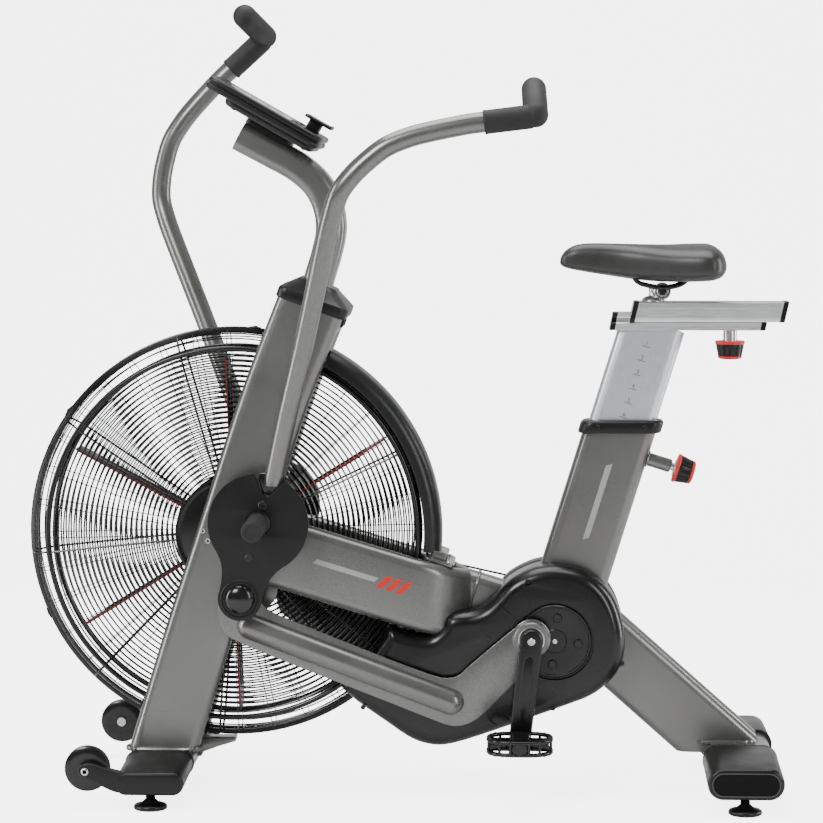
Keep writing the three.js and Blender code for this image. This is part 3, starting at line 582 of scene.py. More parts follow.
def untwist(rings):
    """Starts each ring at the point nearest to the last ring's first point."""
    out = [rings[0]]
    for ring in rings[1:]:
        first = out[-1][0]
        nearest = min(range(len(ring)), key=lambda i: (ring[i] - first).length)
        turned = ring[nearest:] + ring[:nearest]
        if (turned[1] - out[-1][1]).length > (turned[-1] - out[-1][1]).length:
            turned = [turned[0]] + turned[:0:-1]
        out.append(turned)
    return out


def bolt(shape, place, radius, height, socket=True):
    """A low round screw head, with a thin hexagon of the next look on top: its dark colour is painted shade for
    the socket's hollow.
    """
    shape.lathe(place, [(radius, 0), (radius, height * 0.6), (radius * 0.86, height), (TIP, height)], 28)
    if socket:
        shape.use(shape.look + 1)
        # The dark hexagon is painted shade standing in for the sunk socket.
        hexagon = radius * 0.48
        shape.lathe(place, [(hexagon, height - 0.1), (hexagon, height + 0.15), (TIP, height + 0.15)], 6)
        shape.use(shape.look - 1)
    return shape


def make_masts():
    path = curve_through(MAST, 10)
    tube = Shape().sweep(TUBE, path, "y")
    tube.keep((0, 0, 74), (0, 0, -1))
    tube.keep((-164, 0, 851), (math.cos(70 * DEG), 0, math.sin(70 * DEG)))
    pair("mast", tube, graphite)
    foot = [(x - 423.2, y - 70, 76) for x, y in rounded(125, 42, 18, 5)]
    pair("mast_weld", bead(foot, 4.2), graphite)
    screws = Shape()
    for x, z, radius in ((-350.5, 461.7, 4.5), (-341.9, 444.2, 5)):
        bolt(screws, outward((x, z), -90), radius, 2.4)
    pair("mast_screws", screws, [steel, dark_steel])
    plate = soften([(-252, 372), (-224, 366), (-225, 340), (-244, 318), (-262, 322), (-262, 360)], 1)
    gusset = Shape().slab(plate, -53, -49, 1, steps=2)
    pair("beam_gusset", gusset, graphite)
    side = Vector((36, 0, 110)).normalized()
    joint = [Vector((-247, -70 + u, 431)) + side * v for u, v in rounded(41, 125, 18, 5)]
    pair("beam_weld", bead(joint), graphite)


def make_beams():
    plan = [(-280, 70), (-20, 70), (25, 69), (52, 61), (75, 43), (97, 14)]
    path = curve_through([(x, -y, beam_height(x)) for x, y in plan], 8)
    tube = Shape().sweep(BEAM_TUBE, path)
    tube.keep((0, -0.2, 0), (0, 1, 0))
    pair("beam", tube, graphite)
    stripes = Shape()
    for start, length, height, look in (
        (-158, 112, 9, 0), (-40, 11, 24, 1), (-23, 11, 24, 1), (-6, 11, 24, 1),
    ):
        middle = start + length / 2
        place = axes((middle, -90.1, beam_height(middle) + 7), BEAM_ALONG, BEAM_UP, (0, -1, 0))
        lean = height * 0.3
        corners = ((-length, -1), (length, -1), (length, 1), (-length, 1))
        outline = [(u / 2 + v * lean, v * height / 2) for u, v in corners]
        stripes.use(look).slab(outline, -0.3, 0.25, 0.1, place=place, steps=1)
    pair("beam_stripes", stripes, [stripe_grey, red])
    ends = [(84, 0, beam_height(84)), (262, 0, beam_height(262))]
    piece("centre_tube", Shape().sweep(CENTRE_TUBE, ends), graphite)
    centre = Vector((112, 0, beam_height(112)))
    ring = [centre + Vector((0, u, 0)) + BEAM_UP * v for u, v in rounded(51, 123, 19, 5)]
    piece("centre_weld", bead(ring), graphite)


def make_seat_tube():
    tube = Shape().sweep(SEAT_TUBE, [along_seat(-62), along_seat(402)], "y")
    tube.keep((0, 0, 634), (0, 0, 1))
    sleeve = facing(pin_point(0), SEAT_BACK)
    tube.lathe(sleeve, [(12, 40), (12, 103), (10.5, 104.5), (6, 104.5)], 40)
    tube.lathe(axes((CRANK[0], 0, CRANK[1]), (1, 0, 0), (0, 0, 1), (0, 1, 0)), [(31, -26), (31, 26)], 48)
    piece("seat_tube", tube, graphite)
    place = axes(along_seat(248) + Vector((0, -25.1, 0)), SEAT_UP, SEAT_BACK, (0, -1, 0))
    stripe = [(-70, -5), (66, -5), (72, 5), (-64, 5)]
    decal = Shape().slab(stripe, -0.3, 0.25, 0.1, place=place, steps=1)
    decal.join(decal.moved(MIRROR))
    piece("seat_tube_stripes", decal, stripe_grey)
    weld = facing(pin_point(62), SEAT_BACK)
    ring = [weld @ Vector((x, y, 0)) for x, y in circle((0, 0), 13, 20)]
    piece("pin_sleeve_weld", bead(ring, 1.8), graphite)


def make_rear_leg():
    def reach(x):
        return 226.5 + (x - 384) * math.tan(LEG_SLOPE)

    tube = Shape().sweep(LEG_TUBE, [(270, 0, reach(270)), (640, 0, reach(640))])
    tube.keep((0, 0, 66), (0, 0, -1))
    tube.keep((616, 0, 0), (1, 0, 0))
    piece("rear_leg", tube, graphite)
    ring = [(x + 562, y, 84.8) for x, y in rounded(109, 53, 19, 5)]
    piece("leg_weld", bead(ring, 3.8), graphite)


def make_bridge():
    outline = [(-213, 866), (-107, 836), (-118, 806), (-131, 795), (-160, 806), (-192, 815), (-226, 828)]
    block = Shape().slab(soften(outline, 1), -49.5, 49.5, 1.5, steps=2)
    for y in (-28, 28):
        bolt(block.use(1), facing((-112.6, y, 820.5), (0.939, 0, -0.344)), 7.5, 4.5)
    piece("mast_bridge", block.use(0), [graphite, black, dark_steel])


# ------------------------------------------------------------- stabilizers


def across(shape, x, z, width, height, corner, y0, y1, edge=0.5):
    """A bar along Y with a rounded section, and its end at y0 rounded by edge."""
    return shape.slab(shifted(rounded(width, height, corner, 8), x, z), y0, y1, 0.4, edge0=edge)


def make_stabilizers():
    bar = across(Shape(), -428, 54, 110, 32, 15, -140, 140)
    across(bar, -428, 54, 118, 40, 19, -93.5, 93.5, 1.2)
    tongue = [
        (-371, 50), (-374, 66), (-366, 80), (-340, 83), (-303, 83), (-303, 77), (-330, 69),
        (-360, 58), (-364, 50),
    ]
    bar.slab(tongue, -20, 20, 1.2, steps=2)
    piece("front_stabilizer", bar, graphite)
    bar = across(Shape(), 585, 62, 118, 44, 21, -140, 140)
    piece("rear_stabilizer", bar, graphite)


def droop(start):
    """The slope that brings a cap's outer end a little lower than its inner end."""
    fall = CAP_DROOP / (CAP_END - start)
    return Matrix(((1, 0, 0, 0), (0, 1, 0, 0), (0, fall, 1, fall * start), (0, 0, 0, 1)))


def make_rear_caps():
    cap = across(Shape(), 585.5, 62, 130, 54, 26, -CAP_END, -68, 7)
    rim = shifted(rounded(116, 41, 20, 8), 585.5, 62)
    panel = shifted(rounded(112, 37, 18, 8), 585.5, 62)
    # The raised ring round the end panel is coloured light grey as a painted highlight on its edge.
    cap.use(2).slab(rim, -250.9, -249, 0.5, [panel], steps=2)
    cap.use(1).slab(panel, -250.3, -249, 0.3, steps=2)
    groove = shifted(rounded(131, 55, 26.5, 8), 585.5, 62)
    cap.use(0).slab(groove, -78, -70, 2, steps=2)
    pair("rear_cap", cap.moved(droop(68)), [black, panel_black, print_and_highlight_grey])


def make_front_caps():
    cap = across(Shape(), -428, 54, 118, 40, 19, -CAP_END, -94, 6)
    ridge = shifted(rounded(121, 43, 20, 8), -428, 54)
    cap.slab(ridge, -104, -94.5, 2.5, steps=2)
    cap = cap.moved(droop(94))
    arm = soften([
        (-462, 31), (-484, 31), (-508, 42), (-529, 54), (-543, 57), (-551, 68), (-547, 78), (-535, 83),
        (-518, 80), (-499, 72.5), (-476, 67), (-462, 65),
    ])
    cap.slab(arm, -249.2, -229, 3)
    axle = outward(WHEEL, -200)
    cap.use(1).lathe(axle, [
        (8, 0), (8, 5.5), (4.6, 5.5), (4.6, 49), (6.4, 49), (6.4, 51.4), (5.4, 52.6), (3.8, 53),
    ], 28)
    # The sunk hexagon in the axle's end is dark steel as painted shade in its hollow.
    cap.use(2).lathe(axle, [(3.8, 53), (3.6, 51.2), (TIP, 51.2)], 6)
    pair("front_cap", cap, [black, steel, dark_steel])


def make_wheels():
    place = outward(WHEEL)
    hub = [(5.2, 206.2), (5.2, 228.2), (9, 228.2), (10, 227), (10, 208), (9, 206.2), (5.2, 206.2)]
    rim = Shape().lathe(place, hub, 60)
    rim.lathe(place, [
        (24.6, 206.4), (23.6, 207), (21.8, 213), (21.8, 221), (23.6, 227.4), (24.6, 228), (24.6, 206.4),
    ], 72)
    for i in range(5):
        angle = (20 + 72 * i) * DEG
        middle = (WHEEL[0] + 16.5 * math.cos(angle), WHEEL[1] + 16.5 * math.sin(angle))
        rim.slab(turned(rounded(13.5, 6, 1.1, 2), middle, angle), -221, -213, 0.5, steps=2)
    rim.use(1).lathe(place, [
        (24.3, 206.4), (34, 206.4), (38.4, 209), (39, 212), (39, 222.4), (38.4, 225.6), (34, 228.2),
        (24.3, 228.2),
    ], 96)
    pair("wheel", rim, [black, tyre], "wheel", slot="tyre")


def make_feet():
    for name, x, y, top in (
        ("front_left", -428, -225, 27.3), ("front_right", -428, 225, 27.3),
        ("rear_left", 585, -225, 28.2), ("rear_right", 585, 225, 28.2),
    ):
        place = Matrix.Translation((x, y, 0))
        foot = Shape().lathe(place, [
            (26, 0), (28, 1.2), (28.9, 4), (28.2, 7), (26, 8.8), (20, 9.8), (15, 12.4), (11, 15.6),
            (10, 17),
        ], 72)
        thread = []
        height = 15.0
        while height < top - 1.2:
            thread += [(8.5, height), (7.4, height + 0.7)]
            height += 1.4
        foot.use(1).lathe(place, thread + [(8.5, top)], 32)
        piece(f"foot_{name}", foot, [black, dark_steel], f"foot_{name}")


# --------------------------------------------------------------- fan, guard


def ring_at(radius, depth):
    return [(x, -depth, z) for x, z in circle(FAN, radius, 120)]


def spoke_path(degrees):
    """A wire from the hub plate across the face and round the shoulder to the rim."""
    profile = [(98, 45), (200, 45.2), (300, 45.2), (322, 44), (338, 37.4), (349, 28), (356.5, 17), (359.5, 5)]
    c, s = math.cos(degrees * DEG), math.sin(degrees * DEG)
    return curve_through([(FAN[0] + radius * c, -depth, FAN[1] + radius * s) for radius, depth in profile], 4)


def make_guards():
    wires = Shape()
    radius = 107.0
    while radius < 319:
        wires.tube(ring_at(radius, 43), 1.7, 6, loop=True)
        radius += 9.1
    wires.tube(ring_at(326, 40.4), 5, 12, loop=True)
    for radius, depth in ((343.5, 32.6), (351.6, 25.4), (354, 21.6), (356, 17.8), (357.6, 14), (358.8, 10.4)):
        wires.tube(ring_at(radius, depth), 1.4, 6, loop=True)
    for i in range(9):
        wires.tube(spoke_path(26 + 40 * i), 1.9, 8)
    for i in range(36):
        wires.tube(spoke_path(1.5 + 10 * i), 0.85, 5)
    place = outward(FAN)
    rim = GUARD_RADIUS
    wires.lathe(place, [(rim - 7, 0.5), (rim, 0.5), (rim + 0.6, 1.4), (rim + 0.6, 6), (rim - 1, 7), (rim - 7, 7),
                        (rim - 7, 0.5)], 160)
    wires.lathe(place, [
        (22, 41.5), (22, 44.4), (30, 45.6), (84, 45.6), (88, 44), (95, 44), (98, 45.6), (100, 45.2),
        (101, 43.6), (101, 41), (22, 41.5),
    ], 96)
    pair("fan_guard", wires, wire_black)
    clips = Shape()
    for i in range(6):
        angle = (84 + 60 * i) * DEG
        c, s = math.cos(angle), math.sin(angle)
        place = axes((FAN[0] + 360 * c, 0, FAN[1] + 360 * s), (-s, 0, c), (0, 1, 0), (c, 0, s))
        clips.use(0).slab(rounded(20, 17, 3, 3), -3, 4, 1.2, place=place, steps=2)
        bolt(clips, place @ Matrix.Translation((0, 0, 3.8)), 4, 2)
    piece("guard_clips", clips, [black, dark_steel])


def make_fan():
    place = outward(FAN)
    fan = Shape().lathe(place, [
        (10.6, -26), (68, -26), (70, -24), (70, -12), (64, -9), (64, 9), (70, 12), (70, 24),
        (68, 26), (40, 26), (36, 22), (18, 22), (16, 27), (10.6, 27),
    ], 72)
    for i in range(6):
        angle = (32 + 60 * i) * DEG
        u = Vector((math.cos(angle), 0, math.sin(angle)))
        n = Vector((-math.sin(angle), 0, math.cos(angle)))

        def on_blade(reach, y=0):
            return axes(Vector((FAN[0], y, FAN[1])) + u * reach, u, (0, 1, 0), n)

        fan.use(0).slab(rounded(254, 71, 9, 5), -1.3, 1.3, 0.8, place=on_blade(187), steps=2)
        for y in (-17, 17):
            fan.slab(rounded(205, 3, 1.4, 3), -3, 3, 0.8, place=on_blade(170, y), steps=2)
        trims = (((238, 0.9), 187, -35.4), ((238, 0.9), 187, 35.4), ((0.9, 56), 313.8, 0))
        for size, reach, y in trims:
            fan.use(1).slab(rounded(*size, 0.4, 2), -1.6, 1.6, 0.2, place=on_blade(reach, y), steps=1)
    piece("fan_wheel", fan, [black, red], "fan")


def make_fender():
    section = [
        (338, -49.5), (352, -48), (362, -40), (367.5, -25), (367.5, 25), (362, 40), (352, 48), (338, 49.5),
        (336, 48), (338, 46.5), (350, 45), (359, 37.5), (363.5, 24), (363.5, -24), (359, -37.5), (350, -45),
        (338, -46.5), (336, -48),
    ]
    rings = []
    for i in range(49):
        angle = (-5 + 66.5 * i / 48) * DEG
        c, s = math.cos(angle), math.sin(angle)
        rings.append([(FAN[0] + r * c, y, FAN[1] + r * s) for r, y in soften(section, 2)])
    fender = Shape().rings(rings)
    plate = axes((0, 0, beam_height(0) + 62.9), BEAM_ALONG, (0, 1, 0), BEAM_UP)
    foot = shifted(rounded(54, 120, 8, 4), 61)
    fender.use(3).slab(foot, 1.2, 6.4, 1.2, place=plate, steps=2)
    post = shifted(rounded(30, 90, 6, 4), 58)
    fender.slab(post, 3, 20, 2, place=plate, steps=2)
    for y in (-46, 46):
        bolt(fender.use(1), plate @ Matrix.Translation((78, y, 6.2)), 4.5, 3)
    looks = [fender_grey, steel, dark_steel, graphite]
    piece("fan_fender", fender, looks)


# ------------------------------------------------------------------ casing

CASING = [
    (-113, 189), (-95, 168), (-34, 124), (9, 95), (32, 86), (58, 82), (87, 86), (180, 117),
    (226, 134), (286, 156), (325, 172), (352, 192), (372, 216), (382, 244), (384, 272),
    (379, 306), (366, 342), (349, 366), (325, 386), (296, 397), (262, 402), (232, 399),
    (207, 390), (180, 374), (155, 347), (136, 330), (115, 322), (87, 319), (73, 313),
    (63, 297), (44, 281), (20, 281), (-6, 287), (-27, 294), (-38, 273), (-58, 245), (-84, 215),
]
CASING_HOLES = ((215.2, 373.5), (259.1, 151.3), (-73, 150.6))


def casing_ring(distance, depth):
    points = [(x, 0, z) for x, z in inset(CASING, distance)]
    return [Vector((p.x, -depth, p.z)) for p in curve_through(points, 4, closed=True)]


def cut_holes(obj, cutters):
    """Takes the cutters out of the piece."""
    tool = bpy.data.objects.new("cutter", cutters.data)
    bpy.context.scene.collection.objects.link(tool)
    step = obj.modifiers.new("holes", "BOOLEAN")
    step.object = tool
    step.solver = "EXACT"
    bpy.context.view_layer.update()
    mesh = bpy.data.meshes.new_from_object(obj.evaluated_get(bpy.context.evaluated_depsgraph_get()))
    obj.modifiers.clear()
    obj.data = mesh
    bpy.data.objects.remove(tool)


def make_casing():
    rings = []
    for k in range(9):
        angle = 90 * DEG * k / 8
        rings.append(casing_ring(23 * (1 - math.sin(angle)), 84 - 27 * (1 - math.cos(angle))))
    rings.append(casing_ring(0, 2.0))
    rings.append(casing_ring(1.6, 0.3))
    shell = Shape().rings(rings)
    holes = Shape().slab(circle(CRANK, 68.5, 96), -100, -76, 0)
    for spot in CASING_HOLES:
        holes.slab(circle(spot, 5.5, 32), -100, -72, 0)
    for start, end in (((154.9, 344.7), (201, 304.4)), ((270.1, 201.8), (285.7, 154.7))):
        middle = ((start[0] + end[0]) / 2, (start[1] + end[1]) / 2)
        along, rise = end[0] - start[0], end[1] - start[1]
        seam = rounded(math.hypot(along, rise), 1.2, 0.5, 2)
        holes.slab(turned(seam, middle, math.atan2(rise, along)), -100, -82.6, 0)
    holes.slab(soften([(141, 152), (184, 140), (184, 122), (150, 124)], 2), -100, -80, 0)
    for side, own, cutting in (("left", shell, holes), ("right", shell.moved(MIRROR), holes.moved(MIRROR))):
        obj = piece(f"casing_{side}", own, casing_black, sharp=50)
        tool = piece("cutting_bodies", cutting, casing_black, slot="")
        cut_holes(obj, tool)
        bpy.data.objects.remove(tool)
        obj.data.set_sharp_from_angle(angle=50 * DEG)
    screws = Shape()
    bolt(screws, outward((146.2, 276.2), -83.6), 4.4, 2)
    for spot in CASING_HOLES:
        bolt(screws, outward(spot, -73.5), 4.4, 3)
    bolt(screws, outward((378, 229.5), -60), 5.5, 4)
    pair("casing_screws", screws, [dark_steel, black])


# ---------------------------------------------------------- cranks, pedals


def make_spindle():
    spindle = Shape()
    for side in (1, -1):
        place = axes((CRANK[0], 0, CRANK[1]), (1, 0, 0), (0, 0, 1), (0, -side, 0))
        spindle.use(0).lathe(place, [
            (12, 0), (12, 77), (62.5, 77), (64, 78.5), (64, 82.6), (62.4, 84.2), (59.6, 84.2),
            (58.6, 83), (52, 83), (21, 82.4), (19.5, 84), (TIP, 84),
        ], 96)
        for i in range(4):
            angle = (84 + 90 * i) * DEG
            x, z = CRANK[0] + 41 * math.cos(angle), CRANK[1] + 41 * math.sin(angle)
            spot = axes((x, -82.2 * side, z), (1, 0, 0), (0, 0, 1), (0, -side, 0))
            bolt(spindle.use(0), spot, 8, 4.6, socket=False)
            # A dark hexagon on each round head, painted shade for its socket.
            spindle.use(2).lathe(spot, [(3.8, 4.5), (3.8, 4.75), (TIP, 4.75)], 6)
        spindle.use(1).lathe(place, [(4.6, 83.8), (4.6, 86.2), (3.8, 87.2), (TIP, 87.2)], 40)
    piece("crank_spindle", spindle, [crank_black, steel, dark_steel], "crank")


def make_crank_arms():
    along, rise = PEDAL[0] - CRANK_PIN[0], PEDAL[1] - CRANK_PIN[1]
    heading = math.atan2(rise, along) / DEG
    outline = arc(CRANK_PIN, 20, heading + 96, heading + 264, 24)
    outline += arc(PEDAL, 19, heading - 86, heading + 86, 24)
    arm = Shape().slab(outline, -142, -126, 3.4)
    middle = (CRANK_PIN[0] + along / 2, -142, CRANK_PIN[1] + rise / 2)
    face = axes(middle, (along, 0, rise), (-rise, 0, along), (0, -1, 0))
    ridge = soften([(-52, 11), (52, 8), (58, 0), (52, -8), (-52, -11), (-60, 0)], 2)
    arm.slab(ridge, -2, 1.2, 1.1, place=face, steps=3)
    pin = outward(CRANK_PIN)
    arm.use(1).lathe(pin, [(12, 84.4), (12, 128)], 40)
    arm.lathe(pin, [(6.4, 141.5), (6.4, 144.6), (5.4, 145.8), (3, 145.8), (3, 144.4), (TIP, 144.4)], 40)
    axle = outward(PEDAL)
    arm.lathe(axle, [(9, 141), (9, 145.6), (8, 146.4), (6, 146.4), (6, 246)], 32)
    pair("crank_arm", arm, [crank_black, steel], "crank", RIGHT_CRANK)


def make_pedals():
    x, z = PEDAL
    place = Matrix.Translation((x, -200, z))
    outer = soften([
        (-57, -20), (-44, -40), (-24, -49.5), (24, -49.5), (44, -40), (57, -20),
        (57, 20), (44, 40), (24, 49.5), (-24, 49.5), (-44, 40), (-57, 20),
    ], 1)
    window = ((16, -38), (32, -36), (48, -18), (48, 18), (32, 36), (16, 38))
    windows = [soften([(side * u, v) for u, v in window], 1) for side in (-1, 1)]
    cage = Shape()
    for low, high in ((-13.4, -7.4), (7.4, 13.4)):
        cage.slab(outer, low, high, 1.8, windows, place)
    for side in (-1, 1):
        for u, v in ((53, -12), (53, 12), (34, -43), (34, 43), (16, -47), (16, 47)):
            cage.slab(shifted(rounded(5, 5, 1.5, 3), side * u, v), -9, 9, 0.4, place=place, steps=1)
    barrel = axes((x, -200, z), (1, 0, 0), (0, 0, 1), (0, 1, 0))
    cage.lathe(barrel, [
        (7, -48), (12.5, -48), (13.4, -46), (12, -30), (12, 30), (13.4, 46), (12.5, 48), (7, 48),
    ], 40)
    cage.lathe(barrel, [(9.5, -50), (9.5, -47), (TIP, -47)], 32)
    for side in (-1, 1):
        for i in range(-3, 4):
            for level in (-1, 1):
                y = i * 11.5
                reach = 52.6 - max(0, abs(y) - 19) * 0.66
                tooth = Matrix.Translation((x + side * reach, -200 + y, z + level * 13))
                tooth = tooth @ Matrix.Diagonal((1, 1, level, 1))
                cage.lathe(tooth, [(2.4, 0), (2, 1.2), (1.2, 1.7), (TIP, 1.7)], 14)
        for y in (-19, 0, 19):
            rib = Matrix.Translation((x + side * 32, -200 + y, z))
            cage.slab(rounded(36, 3, 1.4, 2), -8, 8, 0.8, place=rib, steps=2)
    pair("pedal", cage, crank_black, "pedal", RIGHT_PEDAL)


# --------------------------------------------------------- links and arms


def make_links():
    outline = soften([
        (-318, 361), (-325, 336), (-322, 300), (-312, 281), (-296, 271), (-212, 236), (-69, 181),
        (60, 130), (86, 122), (110, 126), (134, 140), (194, 202), (252, 262),
        (254, 281), (246, 299), (231, 309), (213, 309), (199, 303),
        (110, 227), (96, 212), (78, 207), (56, 209), (-69, 256), (-176, 299), (-246, 327),
        (-250, 352), (-262, 372), (-282, 381), (-304, 376),
    ], 2)
    plate = Shape().slab(outline, -100.4, -94, 1.6)
    start, end = Vector((-268, -100, 296)), Vector((82, -100, 166))
    along = (end - start).normalized()
    side = Vector((-along.z, 0, along.x))
    rings = []
    for radius, reach in dome(22.5, -22.5, 0)[::-1] + dome(22.5, 22.5, (end - start).length):
        centre = start + along * reach
        rings.append([
            centre + side * (radius * u) + Vector((0, -0.93 * radius * v, 0))
            for u, v in circle((0, 0), 1, 40)
        ])
    plate.join(Shape().rings(rings).keep((0, -98, 0), (0, 1, 0)))
    pin = outward(LEVER_END)
    plate.use(1).lathe(pin, [(27, 99), (27, 104), (25, 106), (12, 106), (12, 121)], 48)
    eye = outward(CRANK_PIN)
    plate.use(0).lathe(eye, [(12.8, 95), (33, 95), (33, 104), (31.4, 105), (12.8, 105)], 64)
    plate.lathe(eye, [
        (13, 104), (30.4, 104), (30.4, 121.4), (28.8, 123), (23.2, 123), (22.6, 121.4), (13, 121.4),
    ], 72)
    plate.use(2).lathe(eye, [(20.8, 121), (22.9, 121), (22.9, 123.4), (20.8, 123.4), (20.8, 121)], 72)
    plate.use(1).lathe(eye, [(13, 120), (20.9, 120), (20.9, 122.4), (13, 122.4)], 48)
    pair("link", plate, [graphite, dark_steel, steel], "link", RIGHT_LINK)


ARM_SIDE_VIEW = [
    (-245, 470), (-232, 520), (-199, 664), (-165.4, 799), (-138.6, 915), (-123.7, 980),
    (-114, 1017), (-101, 1052), (-80, 1080), (-55, 1104), (-23, 1128), (16, 1144),
    (46, 1152), (84, 1160), (123, 1167), (170, 1172), (205, 1176),
]


def arm_point(point):
    x, z = point
    reach = math.hypot(x - PIVOT[0], z - PIVOT[1])
    return (x, -min(240, 118 + 122 * max(0, reach - 40) / 560), z)


def keyhole(big, small):
    px, pz = PIVOT
    heading = math.atan2(LEVER_END[1] - pz, LEVER_END[0] - px) / DEG
    hub = arc(PIVOT, big, heading + 30, heading + 330, 72)
    return hub + arc(LEVER_END, small, heading - 95, heading + 95, 32)


def make_arms():
    path = curve_through([arm_point(p) for p in ARM_SIDE_VIEW], 7)
    arm = Shape().tube(path, 17.5, 36)
    arm.keep((0, 0, 546), (0, 0, -1))
    place = outward(PIVOT)
    arm.lathe(place, [
        (15.6, 92), (36.5, 92), (38, 93.5), (38, 102), (33, 104), (33, 112), (38, 114), (38, 122.5),
        (15.6, 122.5), (15.6, 92),
    ], 64)
    arm.slab(keyhole(60, 30), -128, -122.4, 1.2, steps=2)
    pair("arm", arm, graphite, "arm", RIGHT_ARM)


def cover_outline():
    """The cover's outline: a round head, a concave waist and a round lower end, with a notch for the tube."""
    px, pz = PIVOT
    heading = math.atan2(LEVER_END[1] - pz, LEVER_END[0] - px)
    degrees = heading / DEG
    along = Vector((math.cos(heading), math.sin(heading)))
    side = Vector((-along.y, along.x))
    waist = ((74, 50.6), (82, 46), (92, 42), (103, 39.4), (115, 38))
    notch = [
        (-203.5, 556), (-219, 540), (-231, 528.6), (-235.6, 526), (-239.6, 529.6), (-247, 545),
        (-256, 568),
    ]
    outline = []
    for x, z in arc(PIVOT, 87, degrees + 42, degrees + 318, 80):
        angle = math.atan2(z - pz, x - px) / DEG
        if 58.8 < angle < 94.4:
            outline += notch
            notch = []
        else:
            outline.append((x, z))
    centre = Vector(PIVOT)
    outline += [tuple(centre + along * a - side * b) for a, b in waist]
    outline += arc(LEVER_END, 38, degrees - 98, degrees + 98, 32)
    outline += [tuple(centre + along * a + side * b) for a, b in reversed(waist)]
    return outline


def make_arm_covers():
    hole = circle(PIVOT, 21.4, 48)
    cover = Shape().slab(cover_outline(), -141, -128.3, 5.5, [hole], steps=6, edge0=0.6)
    scoop = soften([(-237, 522), (-200, 553), (-206, 566), (-228, 570), (-254, 568)], 1)
    cover.use(3).slab(scoop, -134, -128.3, 2.5, steps=3)
    end = outward(LEVER_END)
    cover.use(0).lathe(end, [
        (33.4, 138), (33.4, 141.4), (32.4, 142.4), (31, 142.4), (30, 141.4), (29.4, 139),
    ], 72)
    cover.use(1).lathe(end, [(26, 139), (26, 141.4)] + dome(25.4, 12.5, 142, 10)[1:], 72)
    for spot in ((-242, 513), (-265, 422)):
        bolt(cover.use(2), outward(spot, -140.2), 7.6, 2.4)
    looks = [black, gloss_black, dark_steel, gloss_black]
    pair("arm_cover", cover, looks, "arm", RIGHT_ARM)


def make_grips():
    start, turn = Vector((140, -240, 1168.5)), Vector((214, -240, 1177.6))
    outer, inner = Vector((226, -240, 1181)), Vector((222.3, -150, 1224.3))
    sleeve = facing(start, turn - start)
    reach = (turn - start).length
    grip = Shape().ball(turn, 20.4, 40)
    grip.lathe(sleeve, [(18, 0), (19.8, 0), (20.7, 1), (20.7, 4), (20.2, 5.4), (20.4, reach)], 48)
    capsule = dome(21.2, -21.2, 0)[::-1] + dome(21.2, 21.2, (inner - outer).length)
    grip.lathe(facing(outer, inner - outer), capsule, 48)
    pair("grip", grip, rubber, "arm", RIGHT_ARM, sharp=60)


def make_pegs():
    place = outward(PIVOT)
    peg = Shape().use(1).lathe(place, [
        (15, 90.6), (15, 141), (16.5, 141), (17.5, 142), (17.5, 144.5), (12, 145),
    ], 48)
    profile = [(15, 144.2), (18.4, 144.6), (19, 146)]
    along = 148.0
    while along < 247:
        profile += [(19, along), (18.1, along + 0.8), (18.1, along + 1.8), (19, along + 2.6)]
        along += 5.2
    profile += [(19, 250), (17.6, 253.6), (14.5, 255), (11.6, 255), (11, 254), (TIP, 254)]
    peg.use(0).lathe(place, profile, 56)
    pair("foot_peg", peg, [rubber, dark_steel])


# ------------------------------------------------------------ top, console


def make_top_cap():
    place = Matrix.Translation((-160.5, 0, 857.6)) @ Matrix.Rotation(20 * DEG, 4, "Y")
    levels = [
        (122, 180, 14, -8.5, 0), (126, 184, 16, -7.5, 0), (128, 186, 17, -5.5, 0), (128, 186, 17, 8, 0),
        (126, 184, 16, 10.5, 0), (120, 178, 15, 12.2, 0), (104, 150, 20, 19, -1), (84, 118, 20, 26.4, -3),
        (72, 100, 18, 31, -4), (68, 96, 17, 33.4, -4), (64, 92, 16, 33.8, -4),
    ]
    rings = []
    for length, width, corner, height, shift in levels:
        rings.append([place @ Vector((u + shift, v, height)) for u, v in rounded(length, width, corner, 8)])
    cap = Shape().rings(rings)
    for u, v in ((-52, -70), (48, -70), (-52, 70), (48, 70)):
        tilt = place @ Matrix.Translation((u, v, 12.6))
        bolt(cap.use(1), tilt, 4.6, 2.4)
    piece("top_cap", cap, [black, dark_steel, black])


def make_console_mast():
    path = curve_through([
        (-159, 0, 872), (-152, 0, 900), (-139.5, 0, 942), (-131.5, 0, 985), (-137, 0, 1025),
        (-155, 0, 1061), (-188, 0, 1091), (-238, 0, 1119), (-291, 0, 1147),
    ], 10)
    tube = Shape().sweep(rounded(80, 52, 17, 8), path, "y")
    piece("console_mast", tube, graphite)


CONSOLE = axes(
    (-243, 0, 1185),
    (math.cos(CONSOLE_SLOPE), 0, math.sin(CONSOLE_SLOPE)),
    (0, 1, 0),
    (-math.sin(CONSOLE_SLOPE), 0, math.cos(CONSOLE_SLOPE)),
)
BUTTON_ALONG = 55
BUTTONS_ACROSS = (-45, 0, 45)


